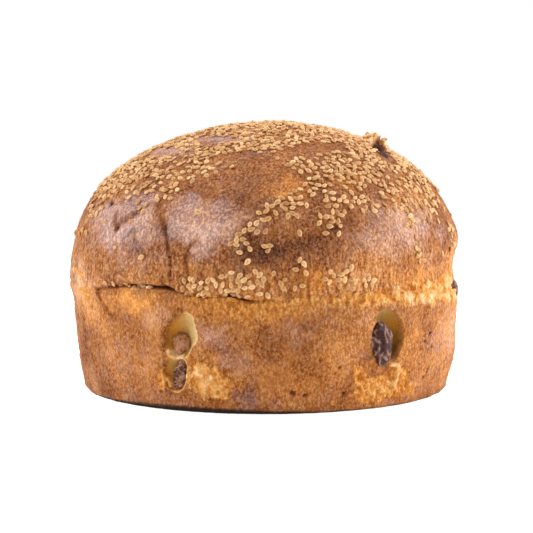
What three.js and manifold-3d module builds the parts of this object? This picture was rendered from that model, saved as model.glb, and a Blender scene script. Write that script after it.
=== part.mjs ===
// A savory panettone: a low round loaf with a straight baked side and a domed top, sesame seeds over the
// dome, and raisins that show in pockets of the crust.
// Millimetres, +Z up. The origin is the middle of the base, on the surface that the loaf stands on, and -Y
// is the front. Angles are degrees round +Z from the front, positive towards +X.
import * as THREE from "three";
import { mergeVertices } from "three/addons/utils/BufferGeometryUtils.js";
import Module from "manifold-3d";

const { clamp, degToRad, euclideanModulo, lerp, smoothstep } = THREE.MathUtils;

// Loaf: the radius and height of each level, from the base up
const BASE_RADIUS = 80.2;
const BASE_EDGE = 3;
const LIP_RADIUS = 85;
const LIP_HEIGHT = 46;
const SEAM_HEIGHT = 48;
const SEAM_DEPTH = 1.6;
const DOME_RADIUS = 84.4;
const WIDEST_HEIGHT = 62;
const LOAF_HEIGHT = 116.2;
const DOME_RISE = LOAF_HEIGHT - WIDEST_HEIGHT;

// Unevenness of the bake
const DOME_LEAN = 3; // how far the top leans towards +X
const OVERHANG = 1.7; // how much further the foot of the dome reaches at -X than at the front
const OVERHANG_HEIGHT = 54; // height at which the foot overhangs most
const OVERHANG_REACH = 13; // height above and below that it fades over
const SEAM_REACH = 16; // height above and below the seam that its waves fade over
const SEAM_WAVES = [
  { waves: 3, size: 0.9, turn: 20 },
  { waves: 7, size: 0.7, turn: 75 },
];
const SWELL_START = 15; // distance from the axis within which the swells fade out
const SWELLS = [
  { waves: 2, size: 0.5, turn: 35 },
  { waves: 3, size: 0.4, turn: 110 },
  { waves: 5, size: 0.3, turn: 10 },
];

// Folds: grooves that run up the dome from its foot, drifting as they rise
const FOLD_DRIFT = -0.2; // degrees for each millimetre of height
const FOLD_START = 4; // height over which a fold sets in above its lower end
const FOLDS = [
  { angle: -27, low: 46, high: 80, halfWidth: 6, depth: 2.4 },
  { angle: -20, low: 46, high: 70, halfWidth: 5, depth: 1.3 },
  { angle: 96, low: 44, high: 76, halfWidth: 6, depth: 2 },
  { angle: 165, low: 46, high: 82, halfWidth: 7, depth: 2.2 },
  { angle: 238, low: 46, high: 74, halfWidth: 6, depth: 1.8 },
];

// Dents: broad shallow hollows of the crust, or swellings where the depth is below 0
const DENTS = [
  { angle: 4, height: 71, halfWidth: 26, halfHeight: 10, depth: 1.6 },
  { angle: -31, height: 76, halfWidth: 8, halfHeight: 7, depth: 1.5 },
  { angle: 140, height: 84, halfWidth: 20, halfHeight: 10, depth: 1.5 },
  { angle: -120, height: 78, halfWidth: 24, halfHeight: 9, depth: 1.4 },
  { angle: -82, height: 47, halfWidth: 24, halfHeight: 8, depth: -0.8 },
  { angle: -92, height: 62, halfWidth: 34, halfHeight: 13, depth: 0.7 },
  { angle: 92, height: 67, halfWidth: 34, halfHeight: 11, depth: -1.2 },
  { angle: 92, height: 50, halfWidth: 30, halfHeight: 6, depth: 0.9 },
  { angle: 88, height: 15, halfWidth: 38, halfHeight: 14, depth: -1.4 },
];

// Pockets: bubbles in the crust that broke open, each an oval hollow
const POCKETS = [
  { angle: 36, height: 30.2, halfWidth: 7.9, halfHeight: 11.7, depth: 6.5, lean: 4 },
  { angle: -24.2, height: 31.2, halfWidth: 6.7, halfHeight: 9.9, depth: 5.8, lean: -26 },
  { angle: -26.2, height: 16.4, halfWidth: 5, halfHeight: 8.2, depth: 4.4, lean: -6 },
  { angle: 68, height: 104.4, halfWidth: 7.6, halfHeight: 4.6, depth: 3.6, lean: 45 },
  { angle: 131, height: 26, halfWidth: 7, halfHeight: 10.5, depth: 6, lean: 12 },
  { angle: 186, height: 31, halfWidth: 8, halfHeight: 9, depth: 5.6, lean: -15 },
  { angle: 249, height: 21, halfWidth: 6, halfHeight: 9.5, depth: 5.4, lean: 6 },
];

// Raisins: sink is how far the middle lies below the smooth crust
const RAISIN_GAP = 0.3;
const RAISIN_WRINKLE = 0.1;
const RAISIN_FLATNESS = 0.82; // thickness over width
const RAISINS = [
  { name: "raisin_right", angle: 34.2, height: 27.3, sink: 0.9, length: 18.8, width: 10.9, lean: 8 },
  { name: "raisin_left_upper", angle: -25.3, height: 27.4, sink: 4.2, length: 9.2, width: 7.4, lean: -14 },
  { name: "raisin_left_lower", angle: -25.4, height: 14.4, sink: 3, length: 14.4, width: 6.8, lean: -14 },
  { name: "raisin_edge", angle: 75.5, height: 45.2, sink: 2.6, length: 8.4, width: 6.2, lean: 12 },
  { name: "raisin_top", angle: 61.4, height: 102.3, sink: 0.7, length: 7.8, width: 6.4, lean: -45 },
  { name: "raisin_back_right", angle: 130, height: 24.5, sink: 3.2, length: 13, width: 8, lean: 14 },
  { name: "raisin_back", angle: 187, height: 30.5, sink: 3.4, length: 12, width: 8.4, lean: -30 },
  { name: "raisin_back_left", angle: 249, height: 20, sink: 3.2, length: 12.6, width: 7.4, lean: 4 },
];

// Crag: the torn flap of crust that stands up behind the raisin near the top
const CRAG = { angle: 82, height: 106.6, halfWidth: 5.4, halfHeight: 6, rise: 5.6, lean: 20 };

// Seeds
const SEED_LENGTH = 3;
const SEED_WIDTH = 2;
const SEED_RISE = 0.9; // how far the back of a seed stands above the crust
const SEED_TAPER = 0.35; // how much narrower the pointed end is than the middle
const SEED_SUNK = 0.08; // how deep the edge of a seed lies in the crust
const SEED_COUNT = 215;
const SEED_SPACING = 3.6;
const SEED_CLEARANCE = 3.5; // from the rim of a pocket, raisin or crag
const SEED_LOWEST = 50;
const SEED_FIELD = { bare: 82, full: 99 }; // heights between which the seeds of the top set in

// Seed patches change that field: cover above 0 adds seeds, below 0 leaves the crust bare
const SEED_PATCHES = [
  { angle: -6, height: 95, halfWidth: 36, halfHeight: 17, tilt: 18, cover: -1.4 },
  { angle: 50, height: 88, halfWidth: 26, halfHeight: 16, tilt: 0, cover: 0.9 },
  { angle: -62, height: 88, halfWidth: 20, halfHeight: 14, tilt: 0, cover: 0.8 },
  { angle: 2, height: 82, halfWidth: 26, halfHeight: 7, tilt: 38, cover: 1.2 },
  { angle: 19, height: 79, halfWidth: 12, halfHeight: 9, tilt: 0, cover: 0.5 },
  { angle: -15, height: 52, halfWidth: 18, halfHeight: 6, tilt: 0, cover: 2 },
  { angle: 21, height: 55, halfWidth: 10, halfHeight: 7, tilt: 0, cover: 1.6 },
  { angle: 48, height: 65, halfWidth: 7, halfHeight: 9, tilt: 0, cover: 0.5 },
  { angle: 73, height: 69, halfWidth: 9, halfHeight: 10, tilt: 0, cover: 0.5 },
  { angle: 118, height: 83, halfWidth: 24, halfHeight: 13, tilt: -15, cover: 0.8 },
  { angle: 176, height: 74, halfWidth: 26, halfHeight: 9, tilt: 25, cover: 0.7 },
  { angle: 205, height: 53, halfWidth: 16, halfHeight: 6, tilt: 0, cover: 0.8 },
  { angle: 256, height: 84, halfWidth: 22, halfHeight: 13, tilt: 0, cover: 0.8 },
];

// Fineness of the faceted surfaces
const AROUND = 78;
const ROWS = { baseEdge: 3, side: 6, lip: 2, foot: 4, dome: 11 };
const POCKET_SIDES = { around: 14, rows: 8 };
const RAISIN_DETAIL = 2;
const SEED_SIDES = 6;
const RANDOM_SEED = 20;

const CRUST = { color: 0xb9763f, roughness: 0.55, metalness: 0 };
const RAISIN = { color: 0x4a2c22, roughness: 0.45, metalness: 0 };

const wasm = await Module();
wasm.setup();

// Helpers: a soft bump from 1 at the middle to 0 at the edge, and the way from one angle to another
const bump = (offset) => Math.max(0, 1 - offset * offset) ** 2;
const angleBetween = (angle, other) => euclideanModulo(angle - other + 180, 360) - 180;
const waveSum = (list, angle) =>
  list.reduce((sum, { waves, size, turn }) => sum + size * Math.sin(degToRad(waves * (angle + turn))), 0);

// A repeatable run of random numbers from 0 to 1
function randomRun(state) {
  return () => {
    state = (state + 0x6d2b79f5) | 0;
    let mixed = Math.imul(state ^ (state >>> 15), 1 | state);
    mixed = (mixed + Math.imul(mixed ^ (mixed >>> 7), 61 | mixed)) ^ mixed;
    return ((mixed ^ (mixed >>> 14)) >>> 0) / 4294967296;
  };
}

// Radius of the smooth crust at a height, with the seam left out
function smoothRadius(height) {
  if (height >= WIDEST_HEIGHT) {
    return DOME_RADIUS * Math.sqrt(1 - ((height - WIDEST_HEIGHT) / DOME_RISE) ** 2);
  }
  const toLip = clamp((height - BASE_EDGE) / (LIP_HEIGHT - BASE_EDGE), 0, 1);
  return LIP_RADIUS - (LIP_RADIUS - BASE_RADIUS) * (1 - toLip) ** 2;
}

// Place on the smooth crust: x runs round the loaf, y up along the crust and z straight out of it
function crustFrame(angle, height) {
  const step = 0.01;
  const turn = degToRad(angle);
  const outward = new THREE.Vector3(Math.sin(turn), -Math.cos(turn), 0);
  const slope = (smoothRadius(height) - smoothRadius(height - step)) / step;
  const out = outward.clone().setZ(-slope).normalize();
  const east = new THREE.Vector3(Math.cos(turn), Math.sin(turn), 0);
  const up = new THREE.Vector3().crossVectors(out, east);
  const point = outward.multiplyScalar(smoothRadius(height)).setZ(height);
  return new THREE.Matrix4().makeBasis(east, up, out).setPosition(point);
}

// Place on the crust turned by a lean and lowered by a sink
function leanedFrame({ angle, height, lean, sink = 0 }) {
  const turned = new THREE.Matrix4().makeRotationZ(degToRad(lean));
  return crustFrame(angle, height).multiply(turned.setPosition(0, 0, -sink));
}

// Outline of half the loaf, from the middle of the base to the top
function loafProfile() {
  const points = [new THREE.Vector2(0, 0), new THREE.Vector2(BASE_RADIUS - BASE_EDGE, 0)];
  const addRows = (rows, pointAt) => {
    for (let row = 1; row <= rows; row += 1) {
      points.push(new THREE.Vector2(...pointAt(row / rows)));
    }
  };
  const sine = (part) => Math.sin((part * Math.PI) / 2);
  const cosine = (part) => Math.cos((part * Math.PI) / 2);
  const seamRadius = LIP_RADIUS - SEAM_DEPTH;
  const baseEdge = (t) => [BASE_RADIUS - BASE_EDGE * (1 - sine(t)), BASE_EDGE * (1 - cosine(t))];
  const side = (t) => [smoothRadius(lerp(BASE_EDGE, LIP_HEIGHT, t)), lerp(BASE_EDGE, LIP_HEIGHT, t)];
  const lip = (t) => [lerp(seamRadius, LIP_RADIUS, cosine(t)), lerp(LIP_HEIGHT, SEAM_HEIGHT, sine(t))];
  const foot = (t) => [lerp(seamRadius, DOME_RADIUS, sine(t)), lerp(WIDEST_HEIGHT, SEAM_HEIGHT, cosine(t))];
  const dome = (t) => [DOME_RADIUS * cosine(t), WIDEST_HEIGHT + DOME_RISE * sine(t)];
  addRows(ROWS.baseEdge, baseEdge);
  addRows(ROWS.side, side);
  addRows(ROWS.lip, lip);
  addRows(ROWS.foot, foot);
  addRows(ROWS.dome, dome);
  return points;
}

// How far the crust stands out from the smooth outline at a point
function crustRelief(point) {
  const angle = THREE.MathUtils.radToDeg(Math.atan2(point.x, -point.y));
  const height = point.z;
  const clearOfBase = smoothstep(height, 0, 2 * BASE_EDGE);
  const clearOfTop = smoothstep(Math.hypot(point.x, point.y), 0, SWELL_START);
  let relief = waveSum(SWELLS, angle) * clearOfBase * clearOfTop;
  relief -= OVERHANG * Math.sin(degToRad(angle)) * bump((height - OVERHANG_HEIGHT) / OVERHANG_REACH);
  for (const fold of FOLDS) {
    const along = clamp((height - fold.low) / (fold.high - fold.low), 0, 1);
    const middle = fold.angle + FOLD_DRIFT * (height - fold.low);
    const across = degToRad(angleBetween(angle, middle)) * smoothRadius(height);
    const fade = smoothstep(height, fold.low, fold.low + FOLD_START) * (1 - along);
    relief -= fold.depth * fade * bump(across / fold.halfWidth);
  }
  for (const dent of DENTS) {
    const local = point.clone().applyMatrix4(crustFrame(dent.angle, dent.height).invert());
    const reach = Math.hypot(local.x / dent.halfWidth, local.y / dent.halfHeight);
    relief -= dent.depth * bump(Math.min(reach, 1)) * (local.z > -dent.halfWidth ? 1 : 0);
  }
  return relief;
}

// The bare loaf: the turned outline with the relief, the lean of its top and the waves of its seam
function bareLoaf() {
  const loaf = new THREE.LatheGeometry(loafProfile(), AROUND).rotateX(Math.PI / 2);
  const position = loaf.getAttribute("position");
  const normal = loaf.getAttribute("normal");
  const point = new THREE.Vector3();
  const away = new THREE.Vector3();
  for (let i = 0; i < position.count; i += 1) {
    point.fromBufferAttribute(position, i);
    away.fromBufferAttribute(normal, i);
    const height = point.z;
    if (height > 0) {
      const angle = THREE.MathUtils.radToDeg(Math.atan2(point.x, -point.y));
      const risen = Math.max(0, height - WIDEST_HEIGHT) / DOME_RISE;
      point.addScaledVector(away, crustRelief(point));
      point.x += DOME_LEAN * risen * risen;
      point.z += waveSum(SEAM_WAVES, angle) * bump((height - SEAM_HEIGHT) / SEAM_REACH);
    }
    position.setXYZ(i, point.x, point.y, point.z);
  }
  return loaf;
}

// A pocket's hollow or the crag's flap: an oval body with its middle on the crust
function ovalGeometry({ halfWidth, halfHeight }, reach) {
  const oval = new THREE.SphereGeometry(1, POCKET_SIDES.around, POCKET_SIDES.rows).rotateX(Math.PI / 2);
  return oval.scale(halfWidth, halfHeight, reach);
}

// A raisin: an oval drawn in by wrinkles that run along it
function raisinGeometry({ length, width, angle }, grow = 0) {
  const raisin = new THREE.IcosahedronGeometry(1, RAISIN_DETAIL);
  const position = raisin.getAttribute("position");
  const point = new THREE.Vector3();
  const thickness = RAISIN_FLATNESS * width;
  const half = new THREE.Vector3(width, length, thickness).multiplyScalar(0.5).addScalar(grow);
  for (let i = 0; i < position.count; i += 1) {
    point.fromBufferAttribute(position, i);
    const round = Math.atan2(point.x, point.z);
    const wrinkle = Math.abs(Math.sin(2.5 * round + 1.4 * point.y + angle));
    const waist = Math.hypot(point.x, point.z);
    point.multiplyScalar(1 - RAISIN_WRINKLE * wrinkle * waist).multiply(half);
    position.setXYZ(i, point.x, point.y, point.z);
  }
  return raisin;
}

// A sesame seed: a flat oval that narrows to a point along x, with few sides
function seedGeometry() {
  const seed = new THREE.SphereGeometry(1, SEED_SIDES, 2).rotateX(Math.PI / 2);
  const position = seed.getAttribute("position");
  for (let i = 0; i < position.count; i += 1) {
    const narrowing = 1 - SEED_TAPER * Math.max(0, position.getX(i));
    position.setY(i, position.getY(i) * narrowing);
  }
  return seed.scale(SEED_LENGTH / 2, SEED_WIDTH / 2, SEED_RISE);
}

// A closed geometry as a solid that can be joined and cut
function toSolid(geometry, placing = new THREE.Matrix4()) {
  const shape = new THREE.BufferGeometry().copy(geometry).applyMatrix4(placing);
  shape.deleteAttribute("normal");
  shape.deleteAttribute("uv");
  const merged = mergeVertices(shape, 1e-3);
  const corners = merged.getIndex().array;
  const whole = [];
  for (let i = 0; i < corners.length; i += 3) {
    const [a, b, c] = corners.slice(i, i + 3);
    if (a !== b && b !== c && c !== a) {
      whole.push(a, b, c);
    }
  }
  const vertProperties = new Float32Array(merged.getAttribute("position").array);
  return new wasm.Manifold(new wasm.Mesh({ numProp: 3, vertProperties, triVerts: new Uint32Array(whole) }));
}

// A solid back as a geometry
function toGeometry(solid) {
  const mesh = solid.getMesh();
  const geometry = new THREE.BufferGeometry();
  geometry.setAttribute("position", new THREE.BufferAttribute(new Float32Array(mesh.vertProperties), 3));
  geometry.setIndex(new THREE.BufferAttribute(new Uint32Array(mesh.triVerts), 1));
  geometry.computeVertexNormals();
  return geometry;
}

// How thickly the crust is seeded at a point of the dome, from 0 to 1
function seedCover(point) {
  let cover = smoothstep(point.z, SEED_FIELD.bare, SEED_FIELD.full);
  for (const patch of SEED_PATCHES) {
    const frame = leanedFrame({ angle: patch.angle, height: patch.height, lean: patch.tilt });
    const local = point.clone().applyMatrix4(frame.invert());
    const reach = Math.hypot(local.x / patch.halfWidth, local.y / patch.halfHeight);
    const sameSide = local.z > -patch.halfWidth ? 1 : 0;
    cover += patch.cover * sameSide * bump(Math.min(reach, 1));
  }
  return clamp(cover, 0, 1);
}

// Whether a point is far enough from every pocket, raisin and the crag to take a seed
function clearOfPockets(point) {
  const ovals = [...POCKETS, ...RAISINS, CRAG];
  return ovals.every(({ angle, height, halfHeight, length }) => {
    const middle = new THREE.Vector3().setFromMatrixPosition(crustFrame(angle, height));
    return middle.distanceTo(point) > SEED_CLEARANCE + (halfHeight ?? length / 2);
  });
}

// Places of the seeds: spread over the dome by its cover, no two closer than the spacing
function seedPlaces(loafMesh) {
  const random = randomRun(RANDOM_SEED);
  const caster = new THREE.Raycaster();
  const places = [];
  while (places.length < SEED_COUNT) {
    const angle = 360 * random();
    const height = lerp(SEED_LOWEST, LOAF_HEIGHT - 0.1, random());
    const chance = random();
    const turn = 360 * random();
    const frame = crustFrame(angle, height);
    const middle = new THREE.Vector3().setFromMatrixPosition(frame);
    const out = new THREE.Vector3().setFromMatrixColumn(frame, 2);
    caster.set(middle.clone().addScaledVector(out, SEED_SPACING), out.clone().negate());
    const [hit] = caster.intersectObject(loafMesh);
    const wanted = chance < seedCover(middle) && hit !== undefined && clearOfPockets(middle);
    if (wanted && places.every((other) => other.point.distanceTo(hit.point) > SEED_SPACING)) {
      places.push({ point: hit.point, normal: hit.face.normal, turn });
    }
  }
  return places;
}

// All the seeds as solids lying on the crust
function seedSolids(loafMesh) {
  const seed = seedGeometry();
  const upright = new THREE.Vector3(0, 0, 1);
  return seedPlaces(loafMesh).map(({ point, normal, turn }) => {
    const lying = new THREE.Quaternion().setFromUnitVectors(upright, normal);
    const spun = new THREE.Quaternion().setFromAxisAngle(upright, degToRad(turn));
    const middle = point.clone().addScaledVector(normal, -SEED_SUNK);
    const placing = new THREE.Matrix4().compose(middle, lying.multiply(spun), new THREE.Vector3(1, 1, 1));
    return toSolid(seed, placing);
  });
}

// The largest piece of a solid, without the scraps that a cut leaves loose
function withoutScraps(solid) {
  return solid.decompose().reduce((largest, piece) => (piece.volume() > largest.volume() ? piece : largest));
}

// The loaf with its crag, its pockets, a seat round each raisin, and its seeds
function loafGeometry() {
  const bare = bareLoaf();
  const bareMesh = new THREE.Mesh(bare);
  let solid = toSolid(bare).add(toSolid(ovalGeometry(CRAG, CRAG.rise), leanedFrame(CRAG)));
  for (const pocket of POCKETS) {
    solid = solid.subtract(toSolid(ovalGeometry(pocket, pocket.depth), leanedFrame(pocket)));
  }
  for (const raisin of RAISINS) {
    solid = solid.subtract(toSolid(raisinGeometry(raisin, RAISIN_GAP), leanedFrame(raisin)));
  }
  const seeds = wasm.Manifold.union(seedSolids(bareMesh));
  return toGeometry(withoutScraps(solid.add(seeds)));
}

const panettone = new THREE.Group();

const loaf = new THREE.Mesh(loafGeometry(), new THREE.MeshStandardMaterial(CRUST));
loaf.name = "loaf";
panettone.add(loaf);

for (const raisin of RAISINS) {
  const mesh = new THREE.Mesh(raisinGeometry(raisin), new THREE.MeshStandardMaterial(RAISIN));
  mesh.name = raisin.name;
  mesh.applyMatrix4(leanedFrame(raisin));
  panettone.add(mesh);
}

export default panettone;
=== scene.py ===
"""Looks of a savory panettone: its crust, its sesame seeds and its raisins, on a pale floor.

Lengths are millimetres until a mesh is made. Angles are degrees round +Z from the front (-Y), positive
towards +X.
"""

import itertools
import logging
import math
from dataclasses import dataclass
from enum import Enum
from typing import Any, Sequence, TypeVar

import bmesh
import bpy
import numpy as np
from mathutils import Matrix
from numpy.typing import NDArray


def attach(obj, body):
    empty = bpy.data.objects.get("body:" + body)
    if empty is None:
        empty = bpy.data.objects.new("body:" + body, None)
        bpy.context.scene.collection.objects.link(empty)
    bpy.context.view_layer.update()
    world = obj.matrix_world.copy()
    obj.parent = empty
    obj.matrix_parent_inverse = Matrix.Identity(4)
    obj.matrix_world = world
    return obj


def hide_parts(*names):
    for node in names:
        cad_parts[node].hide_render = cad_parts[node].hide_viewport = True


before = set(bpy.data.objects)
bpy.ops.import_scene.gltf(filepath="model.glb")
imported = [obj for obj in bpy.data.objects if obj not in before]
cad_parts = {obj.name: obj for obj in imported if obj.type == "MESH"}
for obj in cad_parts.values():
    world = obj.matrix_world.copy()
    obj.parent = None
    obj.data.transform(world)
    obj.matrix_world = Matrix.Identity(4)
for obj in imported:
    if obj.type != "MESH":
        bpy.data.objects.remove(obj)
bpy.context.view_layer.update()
LOG = logging.getLogger("panettone")

Array = NDArray[np.float64]
Pair = tuple[float, float]
Triple = tuple[float, float, float]
Colour = tuple[float, float, float, float]
Span = tuple[float, float, float, float]
Size = float | Triple
Kind = TypeVar("Kind")
Material = bpy.types.Material
Piece = bpy.types.Object
Socket = bpy.types.NodeSocket
Tree = bpy.types.NodeTree
MM = 0.001
BODY = "root"


class CrustLayer(Enum):
    """Masks that the crust carries from its shape to its finish."""

    # Darkness of the skin: its bake, with painted shade in creases, the seam's gap, pits, pocket walls and
    # the cave
    BAKE = "bake_and_shade"
    TORN = "torn"
    PALE = "pale"
    HOLLOW = "hollow"
    DOME = "dome"
    # Dark foot line and cave: partly scorched crust, partly painted contact shadow and painted shade
    SCORCH_AND_SHADE = "scorch_and_shade"
    # Painted sheen where positive (a painted reflection of the soft boxes on the dome, and paler mauve
    # patches on the side); a golden tint where negative
    SHEEN_AND_TINT = "painted_sheen_and_tint"


class SeedLayer(Enum):
    """Values that the seeds carry to their finish."""

    TOAST = "toast"
    # Painted shade in the seed's dished middle and on its underside
    HEART = "painted_shade"


class RaisinLayer(Enum):
    """Values that a raisin carries to its finish."""

    DUST = "dust"
    RIDGE = "ridge"


class Slot(Enum):
    """Material slots of the record."""

    CRUST = "crust"
    SESAME = "sesame"
    RAISIN = "raisin"


Masks = dict[CrustLayer, Array]


def tone(red: int, green: int, blue: int) -> Colour:
    """Turn a screen colour into the linear colour that shaders take.

    Args:
        red: Screen red, 0 to 255.
        green: Screen green, 0 to 255.
        blue: Screen blue, 0 to 255.

    Returns:
        Linear red, green and blue, and an alpha of 1.
    """
    screen = np.array([red, green, blue]) / 255
    linear = np.where(screen <= 0.04045, screen / 12.92, ((screen + 0.055) / 1.055) ** 2.4)
    return (float(linear[0]), float(linear[1]), float(linear[2]), 1.0)


def records(kind: type[Kind], *rows: tuple[float, ...]) -> tuple[Kind, ...]:
    """Make a record of one kind from each row of its values."""
    return tuple(kind(*row) for row in rows)


def bump(offset: Array) -> Array:
    """Soft bump: 1 at offset 0, falling to 0 at offsets of -1 and 1 and beyond."""
    return np.clip(1 - offset * offset, 0, None) ** 2


def ease(value: Any, low: Any, high: Any) -> Array:
    """Smooth step from 0 at the low value to 1 at the high one."""
    part = np.clip((value - low) / (high - low), 0, 1)
    return part * part * (3 - 2 * part)


def angle_between(angle: Any, other: Any) -> Array:
    """Signed way from one angle to another, -180 to 180 degrees."""
    return (angle - other + 180) % 360 - 180


@dataclass(frozen=True)
class Rise:
    """A smooth rise from 0 at a low value to 1 at a high one."""

    low: float
    high: float

    def at(self, value: Array) -> Array:
        """Height of the rise at each value."""
        return ease(value, self.low, self.high)


@dataclass(frozen=True)
class Wave:
    """One wave of a slow unevenness round the loaf."""

    waves: int
    size: float
    turn: float

    def at(self, angle: Array) -> Array:
        """Height of the wave at each angle."""
        return self.size * np.sin(np.radians(self.waves * (angle + self.turn)))


@dataclass(frozen=True)
class Fold:
    """A groove that runs up the dome from its foot."""

    angle: float
    low: float
    high: float
    half_width: float
    depth: float


@dataclass(frozen=True)
class Patch:
    """An oval patch of the crust, with an amount of whatever it holds: depth, colour or seeds."""

    angle: float
    height: float
    half_width: float
    half_height: float
    amount: float
    lean: float = 0.0


Patches = tuple[Patch, ...]


@dataclass(frozen=True)
class PocketLook:
    """How a pocket looks.

    Its gently sloping side is -1 for left and 1 for right, and that slope starts at a part of the way to the
    rim. Then come the paleness of its floor and of its rim, its darkness, and the painted shade on the
    sloping wall.
    """

    gentle_side: float
    slope_start: float
    floor: float
    rim: float
    dark: float = 0.0
    wall_shade: float = 0.25


@dataclass(frozen=True)
class SeamStation:
    """The seam at one angle: how far it gapes, its height, and the torn strip's edges and paleness."""

    angle: float
    gap: float
    line: float
    low: float
    high: float
    pale: float


@dataclass(frozen=True)
class RaisinPlace:
    """A raisin: where it lies, how deep its middle is under the smooth crust, its size and its crumbs."""

    name: str
    angle: float
    height: float
    sink: float
    length: float
    width: float
    lean: float
    dust: float = 0.0


class Grain:
    """Repeatable smooth noise in space, about -1 to 1."""

    CELLS = 256
    GAIN = 1.6
    SHARPNESS = 2.2

    def __init__(self, seed: int) -> None:
        """Draw the noise's slopes.

        Args:
            seed: Number that fixes the draw.
        """
        draw = np.random.default_rng(seed)
        ways = draw.normal(size=(self.CELLS, 3))
        self.order = draw.permutation(self.CELLS)
        self.slopes = ways / np.linalg.norm(ways, axis=1, keepdims=True)

    def at(self, points: Array, size: Any) -> Array:
        """Noise at points.

        Args:
            points: Points, one a row.
            size: Size of the noise's lumps, one number or one for each axis.

        Returns:
            One value for each point.
        """
        scaled = points / np.asarray(size, dtype=float)
        cell = np.floor(scaled).astype(int)
        part = scaled - cell
        blend = part**3 * (part * (part * 6 - 15) + 10)
        total = np.zeros(len(points))
        for corner in itertools.product((0, 1), repeat=3):
            column, row, layer = ((cell + corner) % self.CELLS).T
            picked = self.order[(self.order[(self.order[column] + row) % self.CELLS] + layer) % self.CELLS]
            weight = np.prod(np.where(corner, blend, 1 - blend), axis=1)
            total += weight * np.einsum("ij,ij->i", self.slopes[picked], part - corner)
        return self.GAIN * total

    def layered(self, points: Array, size: Any, layers: int) -> Array:
        """Noise with finer layers added, each half as large and half as strong.

        Args:
            points: Points, one a row.
            size: Size of the largest lumps.
            layers: How many layers there are.

        Returns:
            One value for each point.
        """
        size = np.asarray(size, dtype=float)
        return sum(self.at(points, size / 2**layer) / 2**layer for layer in range(layers))

    def ridged(self, points: Array, size: Any) -> Array:
        """Noise of sharp crests: 1 on a crest, falling to 0 and below between crests."""
        return 1 - self.SHARPNESS * np.abs(self.at(points, size))


@dataclass(frozen=True)
class Grit:
    """A noise with its strength, the size of its lumps, and either finer layers or sharp crests."""

    strength: float
    size: Size
    layers: int = 2
    crested: bool = False

    def over(self, points: Array, noise: Grain) -> Array:
        """Work out the noise at points.

        Args:
            points: Points, one a row.
            noise: Noise to draw from.

        Returns:
            One value for each point.
        """
        if self.crested:
            return self.strength * noise.ridged(points, self.size)
        return self.strength * noise.layered(points, self.size, self.layers)


Grits = tuple[Grit, ...]


def grit_sum(points: Array, grits: Grits, noise: Grain) -> Array:
    """Sum of several noises at each point."""
    return sum(grit.over(points, noise) for grit in grits)


@dataclass(frozen=True)
class CrustFrame:
    """Place on the smooth crust: rows of axes run round the loaf, up along the crust, and out of it."""

    origin: Array
    axes: Array

    def local(self, points: Array) -> Array:
        """Points in this place's own axes."""
        return (points - self.origin) @ self.axes.T

    def world(self, local: Array) -> Array:
        """Points given in this place's own axes, in the loaf's frame."""
        return local @ self.axes + self.origin


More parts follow.
